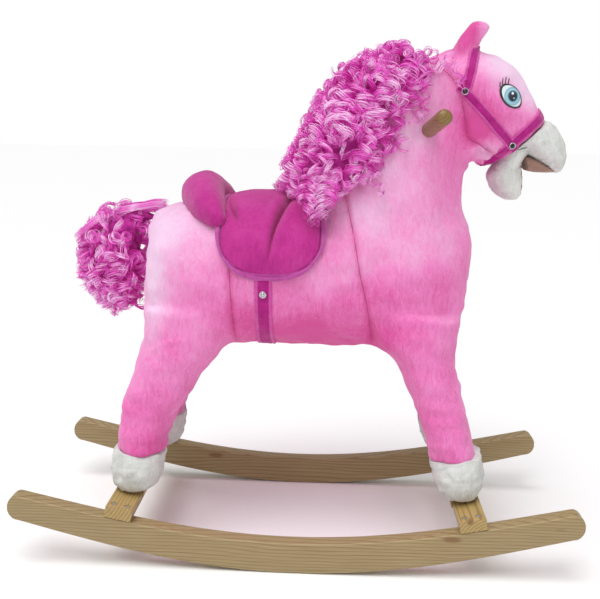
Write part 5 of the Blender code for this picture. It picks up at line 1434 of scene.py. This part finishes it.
# %% Rivets and girth snap
for name, where, up in rivets:
    dome = [(0.0031 * math.cos(a), 0.0004 + 0.0018 * math.sin(a)) for a in np.linspace(0, 1.5, 10)]
    ring = [(0.0034, -0.0012), (0.0043, -0.0010), (0.0046, 0.0002), (0.0043, 0.0010), (0.0038, 0.0012),
            (0.0033, 0.0006)]
    shape = placed(spun(ring + dome, 40), where, up)
    points, faces = closed_rings(shape)
    picks = np.concatenate([np.repeat((np.arange(len(shape) - 1) >= 6).astype(int), 40), np.zeros(40, int),
                            np.ones(40, int)])
    piece(name + "_cap", points, faces, [nickel, enamel], "body", "black_enamel", [name], picks=picks)
hit, normal = from_side(GIRTH_X, 0.359, -1)
snap = [(0.0046, 0.0), (0.0047, 0.0010), (0.0040, 0.0018), (0.0034, 0.0012), (0.0026, 0.0013)]
snap += [(0.0025 * math.cos(a), 0.0013 + 0.0016 * math.sin(a)) for a in np.linspace(0.2, 1.5, 8)]
shape = placed(spun(snap, 40), hit + normal * STRAP_TOP, normal)
piece("girth_snap", *closed_rings(shape), nickel, "body", "zinc_steel", ["girth_stud"])

# %% [markdown]
# ## Eyes
# The eye is a printed and padded patch of satin: an almond with a dark outline, a pale blue iris, a navy
# pupil and a white glint, and four stitched lashes. The patch is a polar grid dropped onto the face, and
# its colours are rings drawn in the patch's own UV, so both eyes carry the same print.

# %% Eye material
def disc(tree, uv, centre, radius, soft):
    """1 inside a disc of the UV map and 0 outside, with an edge of width soft."""
    gap = add_node(tree, "ShaderNodeVectorMath", {0: uv, 1: (*centre, 0)}, operation="DISTANCE").outputs["Value"]
    return add_node(tree, "ShaderNodeMapRange", {"Value": gap, "From Min": radius - soft, "From Max": radius + soft,
                                                 "To Min": 1.0, "To Max": 0.0}).outputs[0]


eye_print, tree, shader = new_material("printed_satin_eye", Roughness=0.28, Coat_Weight=0.4, Coat_Roughness=0.12)
uv = add_node(tree, "ShaderNodeUVMap", uv_map="print").outputs["UV"]
colour = None
for tint, centre, radius, soft in (
        ("#DCE8EC", (0.5, 0.5), 0.700, 0.012), ("#6FA6BA", (0.535, 0.490), 0.330, 0.015),
        ("#9CCBDA", (0.535, 0.485), 0.290, 0.030), ("#5C98AE", (0.535, 0.490), 0.215, 0.025),
        ("#101B33", (0.535, 0.490), 0.180, 0.014), ("#FFFFFF", (0.525, 0.590), 0.045, 0.010),
        ("#CFE6EE", (0.590, 0.420), 0.026, 0.012)):
    under_colour = dye("#14101A") if colour is None else colour
    colour = add_node(tree, "ShaderNodeMix", {"Factor": disc(tree, uv, centre, radius, soft), 6: under_colour,
                                              7: dye(tint)}, data_type="RGBA").outputs[2]
rim = add_node(tree, "ShaderNodeAttribute", attribute_name="rim").outputs["Fac"]
rim = add_node(tree, "ShaderNodeMapRange", {"Value": rim, "From Min": 0.84, "From Max": 0.88}).outputs[0]
colour = add_node(tree, "ShaderNodeMix", {"Factor": rim, 6: colour, 7: dye("#14101A")},
                  data_type="RGBA").outputs[2]
tree.links.new(colour, shader.inputs["Base Color"])
weave = add_node(tree, "ShaderNodeTexNoise", {"Vector": stretched(tree, (0, 0, 0), [per_mm(0.6)] * 3), "Scale": 1.0,
                                              "Detail": 2.0}).outputs["Fac"]
weave_bump = add_node(tree, "ShaderNodeBump", {"Height": weave, "Strength": 0.15, "Distance": 0.0002}).outputs[0]
tree.links.new(weave_bump, shader.inputs["Normal"])
lash_thread = moulded("black_embroidery_thread", "#17131C", 0.6, 0.4)

# %% Eye patches and lashes
EYE_AT = np.array([0.2605, 0.6080])
EYE_HALF = np.array([0.0172, 0.0124])
EYE_TILT = math.radians(-43)
LASH_RADIUS = 0.00062
LASHES = (  # root from the eye's middle (x, z), lean, length
    (-0.0150, 0.0100, -0.10, 0.0072), (-0.0118, 0.0126, -0.05, 0.0098), (-0.0082, 0.0136, 0.03, 0.0104),
    (-0.0044, 0.0140, 0.12, 0.0086),
)
for side_name, side in SIDES.items():
    rho = np.linspace(0.02, 1, 22)[:, None]
    angle = np.linspace(0, 2 * np.pi, 72, endpoint=False)[None, :]
    a = rho * np.cos(angle) * EYE_HALF[0] * (1 + 0.06 * np.cos(2 * angle))
    b = rho * np.sin(angle) * EYE_HALF[1]
    px = a * math.cos(EYE_TILT) - b * math.sin(EYE_TILT)
    pz = a * math.sin(EYE_TILT) + b * math.cos(EYE_TILT)
    hits, normals_hit = from_side(EYE_AT[0] + px, EYE_AT[1] + pz, side)
    face_out = unit(normals_hit.reshape(-1, 3).mean(0))
    swell = 0.0007 + 0.0016 * np.sqrt(np.clip(1 - rho ** 2, 0, 1)) * np.ones_like(angle)
    upper = hits + face_out * swell[..., None]
    skirt = hits[-1:] - face_out * 0.001
    points, faces = closed_rings(np.concatenate([upper, skirt]))
    eye = piece(f"eye_print_{side_name}", points, faces, eye_print, "body", "eye_print", [f"eye_{side_name}"])
    flat_uv = 0.5 + 0.5 * np.stack([px, pz], -1) / EYE_HALF[0]
    flat_uv = np.vstack([flat_uv.reshape(-1, 2), np.zeros((72, 2)), [0.5, 0.5], [0.0, 0.0]])
    corner = np.empty(len(eye.data.loops), np.int32)
    eye.data.loops.foreach_get("vertex_index", corner)
    layer = eye.data.uv_layers.new(name="print")
    layer.data.foreach_set("uv", flat_uv[corner].astype(np.float32).ravel())
    edge = np.concatenate([np.repeat(rho.ravel(), 72), np.ones(72), [0, 1]])
    mark(eye.data, "rim", edge)
    lash_lines = []
    for x0, z0, lean, length in LASHES:
        share = np.linspace(0, 1, 14)
        lx = EYE_AT[0] + x0 + length * (lean * share + 0.12 * share ** 2)
        lz = EYE_AT[1] + z0 + length * share
        lash_lines.append(from_side(lx, lz, side)[0] + face_out * 0.0005)
    made = strand_mesh(f"eye_lashes_{side_name}", np.array(lash_lines), np.zeros((4, 14)),
                       np.full(4, LASH_RADIUS), "body", "eye_print")
    made.data.materials.clear()
    made.data.materials.append(lash_thread)
print("eyes done")

# %% [markdown]
# ## Studio
# The horse stands on a pale paper floor in even light, like a catalogue picture. Most of the light is a
# very broad sun overhead, which gives soft-edged shadows, and a world at 0.40, which lifts them. Two weak
# area lamps draw the sheen on the plush. The camera sees the same world at full strength, so that the
# backdrop stays white without flooding the pink with light.

# %% Floor, lights and camera
paper, tree, shader = new_material("pale_studio_paper", Roughness=0.9)
shader.inputs["Base Color"].default_value = dye("#FFFFFF")
FLOOR_HALF, FLOOR_DROP = 20.0, 0.0006
corners = np.array([[-FLOOR_HALF, -FLOOR_HALF], [FLOOR_HALF, -FLOOR_HALF], [FLOOR_HALF, FLOOR_HALF],
                    [-FLOOR_HALF, FLOOR_HALF]])
corners = np.column_stack([corners, np.full(4, -FLOOR_DROP)])
floor = piece("studio_floor", corners, [np.array([[0, 1, 2, 3]])], paper)

WORLD_LIGHT = 0.40
world = bpy.data.worlds.new("studio")
bpy.context.scene.world = world
world.use_nodes = True
backdrop = world.node_tree.nodes["Background"]
backdrop.inputs["Color"].default_value = dye("#FFFFFF")
seen = add_node(world.node_tree, "ShaderNodeLightPath").outputs["Is Camera Ray"]
strength = add_node(world.node_tree, "ShaderNodeMapRange", {
    "Value": seen, "To Min": WORLD_LIGHT, "To Max": 1.0}).outputs[0]
world.node_tree.links.new(strength, backdrop.inputs["Strength"])


def soft_light(name, where, target, size, power):
    """A square area light at where, facing target."""
    lamp = bpy.data.lights.new(name, "AREA")
    lamp.size, lamp.energy = size, power
    made = bpy.data.objects.new(name, lamp)
    bpy.context.scene.collection.objects.link(made)
    made.location = where
    made.rotation_mode = "QUATERNION"
    made.rotation_quaternion = (Vector(target) - Vector(where)).to_track_quat("-Z", "Y")


soft_light("key", (-0.6, -1.5, 1.9), (0.0, 0, 0.35), 0.8, 5)
soft_light("front_fill", (1.6, -1.0, 1.2), (0.1, 0, 0.4), 1.2, 3)
overhead = bpy.data.lights.new("overhead", "SUN")
overhead.energy, overhead.angle = 2.05, math.radians(45)
overhead_lamp = bpy.data.objects.new("overhead", overhead)
bpy.context.scene.collection.objects.link(overhead_lamp)
overhead_lamp.rotation_mode = "QUATERNION"
overhead_lamp.rotation_quaternion = Vector((0.20, 0.28, -1.0)).to_track_quat("-Z", "Y")

camera_data = bpy.data.cameras.new("camera")
camera = bpy.data.objects.new("camera", camera_data)
bpy.context.scene.collection.objects.link(camera)
camera_data.lens, camera_data.sensor_width = 49.1, 36
camera.location = (0.0454, -1.1131, 0.5667)
yaw, pitch, rolled = math.radians(-2.386), math.radians(11.944), math.radians(0.967)
forward = Vector((math.sin(yaw) * math.cos(pitch), math.cos(yaw) * math.cos(pitch), -math.sin(pitch)))
right = Vector((math.cos(yaw), -math.sin(yaw), 0))
upward = right.cross(forward)
turned_right = math.cos(rolled) * right + math.sin(rolled) * upward
turned_up = -math.sin(rolled) * right + math.cos(rolled) * upward
camera.rotation_mode = "QUATERNION"
camera.rotation_quaternion = Matrix((turned_right, turned_up, -forward)).transposed().to_quaternion()
bpy.context.scene.camera = camera
bpy.context.scene.view_settings.view_transform = "Standard"
